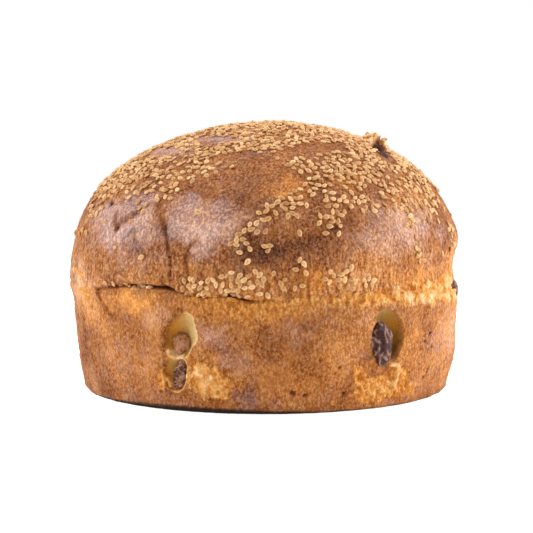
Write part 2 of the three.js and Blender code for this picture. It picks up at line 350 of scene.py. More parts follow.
@dataclass(frozen=True)
class LoafShape:
    """The loaf's driving sizes and its form, the same as those of its solid."""

    base_radius: float = 80.2
    base_edge: float = 3.0
    lip_radius: float = 85.0
    lip_height: float = 46.0
    seam_height: float = 48.0
    seam_depth: float = 1.6
    dome_radius: float = 84.4
    widest_height: float = 62.0
    loaf_height: float = 116.2
    dome_lean: float = 3.0
    overhang: float = 1.7
    overhang_height: float = 54.0
    overhang_reach: float = 13.0
    seam_reach: float = 16.0
    swell_start: float = 15.0
    fold_drift: float = -0.2
    fold_start: float = 4.0
    seam_waves: tuple[Wave, ...] = (Wave(3, 0.9, 20), Wave(7, 0.7, 75))
    swells: tuple[Wave, ...] = (Wave(2, 0.5, 35), Wave(3, 0.4, 110), Wave(5, 0.3, 10))
    folds: tuple[Fold, ...] = records(
        Fold,
        (-27, 46, 80, 6, 2.4),
        (-20, 46, 70, 5, 1.3),
        (96, 44, 76, 6, 2),
        (165, 46, 82, 7, 2.2),
        (238, 46, 74, 6, 1.8),
    )
    dents: Patches = records(
        Patch,
        (4, 71, 26, 10, 1.6),
        (-31, 76, 8, 7, 1.5),
        (140, 84, 20, 10, 1.5),
        (-120, 78, 24, 9, 1.4),
        (-82, 47, 24, 8, -0.8),
        (-92, 62, 34, 13, 0.7),
        (92, 67, 34, 11, -1.2),
        (92, 50, 30, 6, 0.9),
        (88, 15, 38, 14, -1.4),
    )
    pockets: Patches = records(
        Patch,
        (36, 30.2, 7.9, 11.7, 6.5, 4),
        (-24.2, 31.2, 6.7, 9.9, 5.8, -26),
        (-26.2, 16.4, 5, 8.2, 4.4, -6),
        (68, 104.4, 7.6, 4.6, 3.6, 45),
        (131, 26, 7, 10.5, 6, 12),
        (186, 31, 8, 9, 5.6, -15),
        (249, 21, 6, 9.5, 5.4, 6),
    )
    crag: Patch = Patch(82, 106.6, 5.4, 6, 5.6, 20)

    @property
    def dome_rise(self) -> float:
        """Height of the dome above the widest ring."""
        return self.loaf_height - self.widest_height

    def smooth_radius(self, height: Any) -> Array:
        """Work out the radius of the smooth crust, with the seam left out.

        Args:
            height: Height above the base, one or many.

        Returns:
            The radius at each height.
        """
        height = np.asarray(height, dtype=float)
        risen = np.clip((height - self.widest_height) / self.dome_rise, 0, 1)
        to_lip = np.clip((height - self.base_edge) / (self.lip_height - self.base_edge), 0, 1)
        side = self.lip_radius - (self.lip_radius - self.base_radius) * (1 - to_lip) ** 2
        return np.where(height >= self.widest_height, self.dome_radius * np.sqrt(1 - risen**2), side)

    def place(self, angle: float, height: float, lean: float = 0.0) -> CrustFrame:
        """Find a place on the smooth crust.

        Args:
            angle: Angle round the loaf.
            height: Height above the base.
            lean: Turn of the place about the way out of the crust.

        Returns:
            The place, with its axes turned by the lean.
        """
        step = 0.01
        turn = math.radians(angle)
        outward = np.array([math.sin(turn), -math.cos(turn), 0.0])
        east = np.array([math.cos(turn), math.sin(turn), 0.0])
        radius = float(self.smooth_radius(height))
        slope = (radius - float(self.smooth_radius(height - step))) / step
        out = outward - np.array([0.0, 0.0, slope])
        out /= np.linalg.norm(out)
        up = np.cross(out, east)
        cosine, sine = math.cos(math.radians(lean)), math.sin(math.radians(lean))
        axes = np.array([cosine * east + sine * up, cosine * up - sine * east, out])
        return CrustFrame(outward * radius + np.array([0.0, 0.0, height]), axes)

    def within(self, points: Array, patch: Patch) -> Array:
        """Measure how far points are from the middle of a patch.

        Args:
            points: Points near the smooth crust.
            patch: The patch.

        Returns:
            One value for each point: 1 on the rim, and without end on the loaf's other side.
        """
        local = self.place(patch.angle, patch.height, patch.lean).local(points)
        reach = np.hypot(local[:, 0] / patch.half_width, local[:, 1] / patch.half_height)
        return np.where(local[:, 2] > -patch.half_width - patch.half_height, reach, np.inf)

    def patch_sum(self, points: Array, patches: Sequence[Patch]) -> Array:
        """Add up the amounts of soft patches at points.

        Args:
            points: Points near the smooth crust.
            patches: Patches, each strongest at its middle.

        Returns:
            One sum for each point.
        """
        total = np.zeros(len(points))
        for patch in patches:
            total += patch.amount * bump(np.minimum(self.within(points, patch), 1))
        return total

    def seam_shift(self, height: Array, angle: Array) -> Array:
        """How far the seam's waves lift the crust at each height and angle."""
        near_seam = bump((height - self.seam_height) / self.seam_reach)
        return sum(wave.at(angle) for wave in self.seam_waves) * near_seam

    def relief(self, points: Array, angle: Array) -> Array:
        """How far the crust stands out from the smooth outline.

        Args:
            points: Points of the smooth outline.
            angle: Angle of each point round the loaf.

        Returns:
            One height for each point, negative where the crust lies deeper.
        """
        height = points[:, 2]
        clear_of_base = ease(height, 0, 2 * self.base_edge)
        clear_of_top = ease(np.hypot(points[:, 0], points[:, 1]), 0, self.swell_start)
        relief = sum(wave.at(angle) for wave in self.swells) * clear_of_base * clear_of_top
        near_foot = bump((height - self.overhang_height) / self.overhang_reach)
        relief -= self.overhang * np.sin(np.radians(angle)) * near_foot
        for fold in self.folds:
            middle = fold.angle + self.fold_drift * (height - fold.low)
            across = np.radians(angle_between(angle, middle)) * self.smooth_radius(height)
            fade = ease(height, fold.low, fold.low + self.fold_start)
            fade *= 1 - np.clip((height - fold.low) / (fold.high - fold.low), 0, 1)
            relief -= fold.depth * fade * bump(across / fold.half_width)
        return relief - self.patch_sum(points, self.dents)


LOAF = LoafShape()


@dataclass(frozen=True)
class Crease:
    """A sharp line in the crust.

    Its spots are angles and heights, from the lowest up. Then come its half width, depth and darkness, which
    is painted shade in the groove, the rise of the crust on its right, and how far that rise reaches. A lip
    of crumb is a line of negative depth, whose shade is its paleness.
    """

    SHOULDER_WIDTHS = 2.0
    RISE_REACHES = 5.0

    spots: tuple[Pair, ...]
    half_width: float
    depth: float
    shade: float
    rise: float = 0.0
    rise_reach: float = 7.0

    def across(self, angle: Array, height: Array) -> Array:
        """Find the way across the line.

        Args:
            angle: Angle of each point.
            height: Height of each point.

        Returns:
            Distance of each point from the line, positive on its right as seen from outside.
        """
        nearest = np.full(len(angle), np.inf)
        for (start_angle, start), (end_angle, end) in zip(self.spots, self.spots[1:]):
            across = np.radians(angle_between(angle, start_angle)) * LOAF.dome_radius
            rise = height - start
            run = np.array([math.radians(end_angle - start_angle) * LOAF.dome_radius, end - start])
            part = np.clip((across * run[0] + rise * run[1]) / (run @ run), 0, 1)
            gap = np.hypot(across - part * run[0], rise - part * run[1])
            side = np.where(across * run[1] >= rise * run[0], 1.0, -1.0)
            nearest = np.where(gap < np.abs(nearest), side * gap, nearest)
        return nearest

    def relief(self, across: Array) -> Array:
        """Work out the height of the crust beside the line.

        Args:
            across: Distance of each point from the line, positive on its right.

        Returns:
            One height for each point.
        """
        groove = -self.depth * np.exp(-((across / self.half_width) ** 2))
        beside = np.clip(across, 0, None)
        shoulder = ease(beside, 0, self.SHOULDER_WIDTHS * self.half_width) * np.exp(-beside / self.rise_reach)
        return groove + self.rise * shoulder * (np.abs(across) < self.RISE_REACHES * self.rise_reach)


def make_mesh(name: str, points: Array, faces: list[list[int]], layers: dict[str, Array]) -> Piece:
    """Make a smooth mesh piece that rides on the loaf's body.

    Args:
        name: Name of the piece.
        points: Its points in millimetres.
        faces: Its faces, as lists of point numbers.
        layers: Value of each point for each named layer.

    Returns:
        The new object, in metres.
    """
    mesh = bpy.data.meshes.new(name)
    mesh.from_pydata((points * MM).tolist(), [], faces)
    for layer, values in layers.items():
        attribute = mesh.attributes.new(layer, "FLOAT", "POINT")
        attribute.data.foreach_set("value", np.asarray(values, dtype=np.float32))
    mesh.polygons.foreach_set("use_smooth", [True] * len(mesh.polygons))
    mesh.update()
    piece = bpy.data.objects.new(name, mesh)
    bpy.context.scene.collection.objects.link(piece)
    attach(piece, BODY)
    return piece


class NodeBoard:
    """A node tree with short calls to add and join nodes."""

    def __init__(self, tree: Tree) -> None:
        """Keep the tree that the calls work on."""
        self.tree = tree

    def add(self, kind: str, inputs: dict[Any, Any] | None = None, **settings: Any) -> bpy.types.Node:
        """Add a node.

        Args:
            kind: Blender's name for the kind of node.
            inputs: What each input holds: a value, or the output of another node.
            settings: Properties of the node.

        Returns:
            The new node.
        """
        node = self.tree.nodes.new(kind)
        for key, value in settings.items():
            setattr(node, key, value)
        for key, value in (inputs or {}).items():
            self.feed(node.inputs[key], value)
        return node

    def feed(self, socket: Socket, value: Any) -> None:
        """Link an output to a socket, or set the socket's own value.

        Args:
            socket: Input socket of a node.
            value: Output of another node, or a plain value.
        """
        if isinstance(value, Socket):
            self.tree.links.new(value, socket)
        else:
            socket.default_value = value

    def layer(self, layer: Enum) -> Socket:
        """Output that reads one of the mesh's layers."""
        return self.add("ShaderNodeAttribute", attribute_name=layer.value).outputs["Fac"]

    def math(self, operation: str, first: Any, second: Any = 0.0, clamp: bool = False) -> Socket:
        """Output of a sum, a product or the like of two values."""
        settings = {"operation": operation, "use_clamp": clamp}
        return self.add("ShaderNodeMath", {0: first, 1: second}, **settings).outputs[0]

    def sway(self, value: Any, noise: Any, amount: float, clamp: bool = False) -> Socket:
        """Output of a value moved up and down by a noise that is 0.5 on average."""
        centred = self.math("MULTIPLY", self.math("SUBTRACT", noise, 0.5), amount)
        return self.math("ADD", value, centred, clamp)

    def blend(self, part: Any, first: Any, second: Any, mode: str = "MIX") -> Socket:
        """Output of a blend of two colours, or of the first with some of the second added or multiplied."""
        inputs = {"Factor": part, 6: first, 7: second}
        return self.add("ShaderNodeMix", inputs, data_type="RGBA", blend_type=mode).outputs[2]

    def lighten(self, colour: Any, light: Colour, amount: Any) -> Socket:
        """Add light to a colour, or take it away where the amount is negative.

        Args:
            colour: Colour output to start from.
            light: Colour of the light.
            amount: How much of it is added.

        Returns:
            The lit colour, with no channel below 0.
        """
        lit = {0: light[:3], 1: amount, 2: colour}
        summed = self.add("ShaderNodeVectorMath", lit, operation="MULTIPLY_ADD").outputs[0]
        return self.add("ShaderNodeVectorMath", {0: summed}, operation="MAXIMUM").outputs[0]

    def span(self, value: Any, low: float, high: float, to_low: float = 0.0, to_high: float = 1.0) -> Socket:
        """Output of a value moved from one range into another, held to it, with a smooth start and end."""
        inputs = {"Value": value, "From Min": low, "From Max": high, "To Min": to_low, "To Max": to_high}
        return self.add("ShaderNodeMapRange", inputs, interpolation_type="SMOOTHSTEP").outputs["Result"]

    def noise(self, where: Socket, scale: Any, detail: float) -> Socket:
        """Output of a noise that is about 0.5 on average."""
        inputs = {"Vector": where, "Scale": scale, "Detail": detail}
        return self.add("ShaderNodeTexNoise", inputs).outputs["Fac"]

    def weigh(self, *parts: tuple[Any, float]) -> Socket:
        """Add up values, each with its own weight.

        Args:
            parts: Each value with its weight.

        Returns:
            The output of the sum.
        """
        total = self.math("MULTIPLY", *parts[0])
        for value, weight in parts[1:]:
            total = self.math("ADD", total, self.math("MULTIPLY", value, weight))
        return total

    def ramp(self, value: Any, stops: Sequence[tuple[float, Colour]]) -> Socket:
        """Output of a run of colours.

        Args:
            value: Place along the run, 0 to 1.
            stops: Each colour with its place.

        Returns:
            The colour output.
        """
        node = self.add("ShaderNodeValToRGB", {"Fac": value})
        elements = node.color_ramp.elements
        while len(elements) < len(stops):
            elements.new(1.0)
        for element, (place, colour) in zip(elements, stops):
            element.position = place
            element.color = colour
        return node.outputs["Color"]


class NodeGroups:
    """Effects that more than one finish uses, each built once as a node group."""

    FINE_BLOTCHES = 4.7
    BROAD_SHARE = 0.6
    FLECK_EDGES = (0.38, 0.64)

    @staticmethod
    def start(name: str, output: str) -> tuple[NodeBoard, Socket, Socket, Socket]:
        """Begin a node group that takes a place and a scale and gives one value.

        Args:
            name: Name of the group.
            output: Name of its output socket.

        Returns:
            The group's board, its two inputs and the socket of its output node.
        """
        tree = bpy.data.node_groups.new(name, "ShaderNodeTree")
        tree.interface.new_socket("Vector", in_out="INPUT", socket_type="NodeSocketVector")
        tree.interface.new_socket("Scale", in_out="INPUT", socket_type="NodeSocketFloat")
        tree.interface.new_socket(output, in_out="OUTPUT", socket_type="NodeSocketFloat")
        board = NodeBoard(tree)
        given = board.add("NodeGroupInput").outputs
        return board, given["Vector"], given["Scale"], board.add("NodeGroupOutput").inputs[output]

    @classmethod
    def mottle(cls) -> Tree:
        """Build blotches of two sizes, for colour that is uneven.

        Returns:
            The group, whose shade is about 0.5 on average.
        """
        board, where, scale, result = cls.start("baked_mottle", "Shade")
        broad = board.noise(where, scale, 3.0)
        fine = board.noise(where, board.math("MULTIPLY", scale, cls.FINE_BLOTCHES), 2.0)
        board.feed(result, board.weigh((broad, cls.BROAD_SHARE), (fine, 1 - cls.BROAD_SHARE)))
        return board.tree

    @classmethod
    def flecks(cls) -> Tree:
        """Build fine crisp flecks, as on a baked skin.

        Returns:
            The group: 1 on a fleck, 0 between flecks and about 0.5 on average.
        """
        board, where, scale, result = cls.start("skin_flecks", "Flecks")
        inputs = {"Vector": where, "Scale": scale, "Detail": 4.0, "Roughness": 0.68, "Distortion": 0.25}
        noise = board.add("ShaderNodeTexNoise", inputs).outputs["Fac"]
        board.feed(result, board.span(noise, *cls.FLECK_EDGES))
        return board.tree


class Finish:
    """What every finish shares: a material with a Principled shader."""

    def board(self, name: str) -> tuple[Material, NodeBoard, bpy.types.Node, Socket]:
        """Begin a material.

        Args:
            name: Name of the material.

        Returns:
            The material, its board, its Principled shader, and an output of the place on the piece.
        """
        material = bpy.data.materials.new(name)
        material.use_nodes = True
        board = NodeBoard(material.node_tree)
        where = board.add("ShaderNodeTexCoord").outputs["Object"]
        return material, board, material.node_tree.nodes["Principled BSDF"], where

    def group(self, board: NodeBoard, tree: Tree, where: Socket, scale: float) -> Socket:
        """Place a node group in a material, with its own scale.

        Args:
            board: Board of the material.
            tree: The group.
            where: Output that gives the place on the piece.
            scale: How fine the effect is.

        Returns:
            The output of the group.
        """
        return board.add("ShaderNodeGroup", {"Vector": where, "Scale": scale}, node_tree=tree).outputs[0]

    def roughen(self, board: NodeBoard, height: Socket, strength: float, depth: float) -> Socket:
        """Output of a normal that a fine relief of some depth in metres tilts."""
        inputs = {"Height": height, "Strength": strength, "Distance": depth}
        return board.add("ShaderNodeBump", inputs).outputs["Normal"]


@dataclass(frozen=True)
class CrustFinish(Finish):
    """Baked crust: gold to dark brown by its bake and by painted shade, pale where it is torn, olive in the
    open pockets, with painted sheen and painted glints.
    """

    peach: Colour = tone(238, 174, 108)
    gold: Colour = tone(208, 140, 74)
    amber: Colour = tone(175, 109, 50)
    copper: Colour = tone(142, 79, 27)
    brown: Colour = tone(106, 55, 17)
    umber: Colour = tone(74, 37, 16)
    # Colour of the flecks' glints: the crust's fine grain, partly painted highlight
    glint: Colour = tone(255, 224, 196)
    # Colour of the painted sheen, a painted reflection of the soft boxes, added to the skin's colour
    sheen: Colour = tone(228, 234, 248)
    tint: Colour = tone(255, 240, 184)
    torn_deep: Colour = tone(160, 88, 24)
    torn_gold: Colour = tone(204, 130, 56)
    torn_light: Colour = tone(234, 174, 98)
    torn_cream: Colour = tone(246, 207, 166)
    olive: Colour = tone(108, 68, 18)
    moss: Colour = tone(188, 122, 34)
    straw: Colour = tone(192, 148, 80)
    cream: Colour = tone(250, 228, 170)
    # Near black of the dark foot line and the cave: scorched crust with painted contact shadow and painted
    # shade
    scorch_and_shade: Colour = tone(34, 20, 14)
    blotch_scale: float = 150.0
    crumb_scale: float = 420.0
    fleck_scale: float = 1000.0
    grain_scale: float = 1900.0
    fleck_stretch: Triple = (1.0, 1.0, 0.62)
    fleck_share: float = 0.66
    side_speckle: float = 0.6
    dome_speckle: float = 0.74
    blotch_sway: float = 0.36
    speckle_sway: float = 0.32
    speckle_by_blotch: Span = (0.35, 0.65, 0.55, 1.25)
    glow_by_darkness: Span = (0.2, 0.9, 0.4, 0.14)
    least_glow: Span = (0.3, 0.9, 0.05, 0.012)
    painted_sheen_by_blotch: Span = (0.3, 0.7, 0.17, 0.245)
    painted_sheen_by_fleck: Span = (0.1, 0.9, 0.75, 1.25)
    torn_sway: Pair = (0.4, 0.2)
    torn_edge: Pair = (0.1, 0.95)
    pale_sway: Pair = (0.5, 0.36)
    torn_stops: Span = (0.0, 0.35, 0.7, 1.0)
    floor_sway: Pair = (0.3, 0.25)
    floor_stops: Span = (0.0, 0.3, 0.6, 1.0)
    skin_roughness: float = 0.6
    crumb_roughness: float = 0.85
    roughness_sway: float = 0.2
    specular: float = 0.12
    gloss: float = 0.2
    gloss_sway: float = 0.25
    gloss_roughness: float = 0.36
    fleck_relief: float = 0.5
    crumb_relief: float = 0.6
    grain_relief: float = 0.25
    relief_strength: float = 0.6
    relief_depth: float = 0.0006

    def material(self, mottle: Tree, flecks: Tree) -> Material:
        """Make the crust's material.

        Args:
            mottle: Node group of blotches.
            flecks: Node group of fine flecks.

        Returns:
            The material.
        """
        material, board, shader, where = self.board("baked_crust")
        blotch = self.group(board, mottle, where, self.blotch_scale)
        crumb = self.group(board, mottle, where, self.crumb_scale)
        drawn_out = board.add("ShaderNodeMapping", {"Vector": where, "Scale": self.fleck_stretch}).outputs[0]
        fleck = self.group(board, flecks, drawn_out, self.fleck_scale)
        grain = self.group(board, flecks, drawn_out, self.grain_scale)

        lit = board.weigh((fleck, self.fleck_share), (grain, 1 - self.fleck_share))
        skin = self.add_painted_sheen(board, self.baked_skin(board, blotch, lit), blotch, lit)
        skin = self.opened(board, skin, blotch, crumb, fleck)
        # The dark foot line and the cave take the near black: scorched crust with painted contact shadow and
        # painted shade
        board.feed(shader.inputs["Base Color"], board.blend(board.layer(CrustLayer.SCORCH_AND_SHADE), skin, self.scorch_and_shade))

        torn = board.layer(CrustLayer.TORN)
        matt = board.span(torn, 0.0, 1.0, self.skin_roughness, self.crumb_roughness)
        board.feed(shader.inputs["Roughness"], board.sway(matt, blotch, self.roughness_sway))
        shader.inputs["Specular IOR Level"].default_value = self.specular
        gloss = board.math("MULTIPLY", board.layer(CrustLayer.DOME), self.gloss)
        board.feed(shader.inputs["Coat Weight"], board.sway(gloss, fleck, self.gloss_sway, clamp=True))
        shader.inputs["Coat Roughness"].default_value = self.gloss_roughness

        heights = (fleck, self.fleck_relief), (crumb, self.crumb_relief), (grain, self.grain_relief)
        relief = board.weigh(*heights)
        normal = self.roughen(board, relief, self.relief_strength, self.relief_depth)
        board.feed(shader.inputs["Normal"], normal)
        board.feed(shader.inputs["Coat Normal"], normal)
        return material

    def baked_skin(self, board: NodeBoard, blotch: Socket, lit: Socket) -> Socket:
        """Colour the skin by its bake and painted shade, with lighter and darker flecks that are partly
        painted glints.

        Args:
            board: Board of the material.
            blotch: Broad unevenness of the bake.
            lit: Fine flecks, 1 where they are light.

        Returns:
            The skin's colour.
        """
        strength = board.span(board.layer(CrustLayer.DOME), 0.0, 1.0, self.side_speckle, self.dome_speckle)
        strength = board.math("MULTIPLY", strength, board.span(blotch, *self.speckle_by_blotch))
        speckle = board.math("MULTIPLY", board.math("SUBTRACT", lit, 0.5), strength)
        darkness = board.sway(board.layer(CrustLayer.BAKE), blotch, self.blotch_sway)
        darkness = board.math("SUBTRACT", darkness, board.math("MULTIPLY", speckle, self.speckle_sway))
        browns = (self.peach, self.gold, self.amber, self.copper, self.brown, self.umber)
        places = np.linspace(0, 1, len(browns)).tolist()
        skin = board.ramp(darkness, list(zip(places, browns)))
        # The flecks add and take away glint colour, partly painted glints; a little glint is added everywhere
        glow = board.math("MULTIPLY", speckle, board.span(darkness, *self.glow_by_darkness))
        glow = board.math("ADD", glow, board.span(darkness, *self.least_glow))
        return board.lighten(skin, self.glint, glow)

    def add_painted_sheen(self, board: NodeBoard, skin: Socket, blotch: Socket, lit: Socket) -> Socket:
        """Add painted sheen, a painted reflection of the soft boxes, where the sheen-and-tint mask is
        positive, and a golden tint where it is negative.

        Args:
            board: Board of the material.
            skin: Colour of the skin.
            blotch: Broad unevenness of the sheen.
            lit: Fine flecks, which take more of the sheen.

        Returns:
            The skin's colour.
        """
        painted_sheen_and_tint = board.layer(CrustLayer.SHEEN_AND_TINT)
        golden = board.math("MULTIPLY", painted_sheen_and_tint, -1.0, clamp=True)
        skin = board.blend(golden, skin, self.tint, "MULTIPLY")
        painted_sheen = board.math("MULTIPLY", painted_sheen_and_tint, board.span(blotch, *self.painted_sheen_by_blotch))
        painted_sheen = board.math("MULTIPLY", painted_sheen, board.span(lit, *self.painted_sheen_by_fleck), clamp=True)
        return board.blend(painted_sheen, skin, self.sheen, "ADD")

    def opened(self, board: NodeBoard, skin: Socket, blotch: Socket, crumb: Socket, fleck: Socket) -> Socket:
        """Colour the crumb where the crust is torn, and the floors of the open pockets.

        Args:
            board: Board of the material.
            skin: Colour of the whole crust.
            blotch: Broad unevenness.
            crumb: Unevenness of the size of crumbs.
            fleck: Fine flecks.

        Returns:
            The crust's colour.
        """
        torn, pale = board.layer(CrustLayer.TORN), board.layer(CrustLayer.PALE)
        by_crumb, by_fleck = self.pale_sway
        paleness = board.sway(board.sway(pale, crumb, by_crumb), fleck, by_fleck, clamp=True)
        crumbs = (self.torn_deep, self.torn_gold, self.torn_light, self.torn_cream)
        by_crumb, by_fleck = self.torn_sway
        ragged = board.span(board.sway(board.sway(torn, crumb, by_crumb), fleck, by_fleck), *self.torn_edge)
        skin = board.blend(ragged, skin, board.ramp(paleness, list(zip(self.torn_stops, crumbs))))
        by_blotch, by_crumb = self.floor_sway
        floors = (self.olive, self.moss, self.straw, self.cream)
        depth = board.sway(board.sway(pale, blotch, by_blotch), crumb, by_crumb)
        floor = board.ramp(depth, list(zip(self.floor_stops, floors)))
        return board.blend(board.layer(CrustLayer.HOLLOW), skin, floor)


@dataclass(frozen=True)
class SeedFinish(Finish):
    """Toasted sesame seed: cream to gold from seed to seed, with painted shade in the dished middle and
    underneath.
    """

    cream: Colour = tone(244, 202, 146)
    gold: Colour = tone(208, 156, 98)
    toasted: Colour = tone(160, 104, 56)
    speckle_scale: float = 900.0
    speckle_sway: float = 0.4
    painted_shade_strength: float = 0.5
    roughness: Span = (0.2, 0.8, 0.42, 0.62)
    specular: float = 0.4
    relief_strength: float = 0.3
    relief_depth: float = 0.0002

    def material(self, mottle: Tree) -> Material:
        """Make the seeds' material.

        Args:
            mottle: Node group of blotches.

        Returns:
            The material.
        """
        material, board, shader, where = self.board("toasted_sesame")
        speckle = self.group(board, mottle, where, self.speckle_scale)
        toast = board.sway(board.layer(SeedLayer.TOAST), speckle, self.speckle_sway)
        painted_shade = board.math("MULTIPLY", board.layer(SeedLayer.HEART), self.painted_shade_strength)
        toast = board.math("ADD", toast, painted_shade, clamp=True)
        stops = [(0.1, self.cream), (0.5, self.gold), (1.0, self.toasted)]
        board.feed(shader.inputs["Base Color"], board.ramp(toast, stops))
        board.feed(shader.inputs["Roughness"], board.span(speckle, *self.roughness))
        shader.inputs["Specular IOR Level"].default_value = self.specular
        normal = self.roughen(board, speckle, self.relief_strength, self.relief_depth)
        board.feed(shader.inputs["Normal"], normal)
        return material


@dataclass(frozen=True)
class RaisinFinish(Finish):
    """Raisin skin: dark between its wrinkles, greyer on the crests, partly the raisin's bloom and partly
    painted highlight, with crumbs baked on.
    """

    dark: Colour = tone(62, 26, 18)
    # Crest colour: partly the raisin's grey bloom, partly painted highlight along the ridges
    crest: Colour = tone(200, 150, 130)
    crumb: Colour = tone(184, 124, 84)
    blotch_scale: float = 500.0
    speck_scale: float = 1100.0
    wrinkle_scale: float = 620.0
    crumb_sway: float = 2.0
    crumb_edge: Pair = (0.25, 0.75)
    grey_by_blotch: Span = (0.3, 0.7, 0.3, 1.0)
    roughness: Span = (0.25, 0.75, 0.16, 0.36)
    specular: float = 0.32
    relief_strength: float = 0.6
    relief_depth: float = 0.0005

    def material(self, mottle: Tree, flecks: Tree) -> Material:
        """Make the raisins' material.

        Args:
            mottle: Node group of blotches.
            flecks: Node group of fine flecks.

        Returns:
            The material.
        """
        material, board, shader, where = self.board("raisin_skin")
        blotch = self.group(board, mottle, where, self.blotch_scale)
        specks = self.group(board, mottle, where, self.speck_scale)
        wrinkle = self.group(board, flecks, where, self.wrinkle_scale)
        greyed = board.span(blotch, *self.grey_by_blotch)
        crests = board.math("MULTIPLY", board.layer(RaisinLayer.RIDGE), greyed)
        skin = board.blend(crests, self.dark, self.crest)
        dust = board.sway(board.layer(RaisinLayer.DUST), specks, self.crumb_sway)
        crumbs = board.span(dust, *self.crumb_edge)
        board.feed(shader.inputs["Base Color"], board.blend(crumbs, skin, self.crumb))
        board.feed(shader.inputs["Roughness"], board.span(specks, *self.roughness))
        shader.inputs["Specular IOR Level"].default_value = self.specular
        normal = self.roughen(board, wrinkle, self.relief_strength, self.relief_depth)
        board.feed(shader.inputs["Normal"], normal)
        return material


@dataclass(frozen=True)
class FloorFinish(Finish):
    """Pale matt floor that fades out into the white round it."""

    colour: Colour = tone(248, 247, 245)
    glow: float = 0.3
    glow_seen: float = 0.85
    solid_to: float = 0.3
    gone_at: float = 0.9
    roughness: float = 0.8

    def material(self) -> Material:
        """Make the floor's material.

        Returns:
            The material.
        """
        material, board, shader, where = self.board("pale_floor")
        away = board.add("ShaderNodeVectorMath", {0: where}, operation="LENGTH").outputs["Value"]
        board.feed(shader.inputs["Alpha"], board.span(away, self.solid_to, self.gone_at, 1.0, 0.0))
        shader.inputs["Base Color"].default_value = self.colour
        shader.inputs["Emission Color"].default_value = self.colour
        seen = board.add("ShaderNodeLightPath").outputs["Is Camera Ray"]
        board.feed(shader.inputs["Emission Strength"], board.span(seen, 0.0, 1.0, self.glow, self.glow_seen))
        shader.inputs["Roughness"].default_value = self.roughness
        return material


@dataclass(frozen=True)
class CrustSpots:
    """Points of the smooth crust: angle, height, height with the seam's waves, and the seam's values."""

    points: Array
    angle: Array
    height: Array
    level: Array
    seam: SeamStation


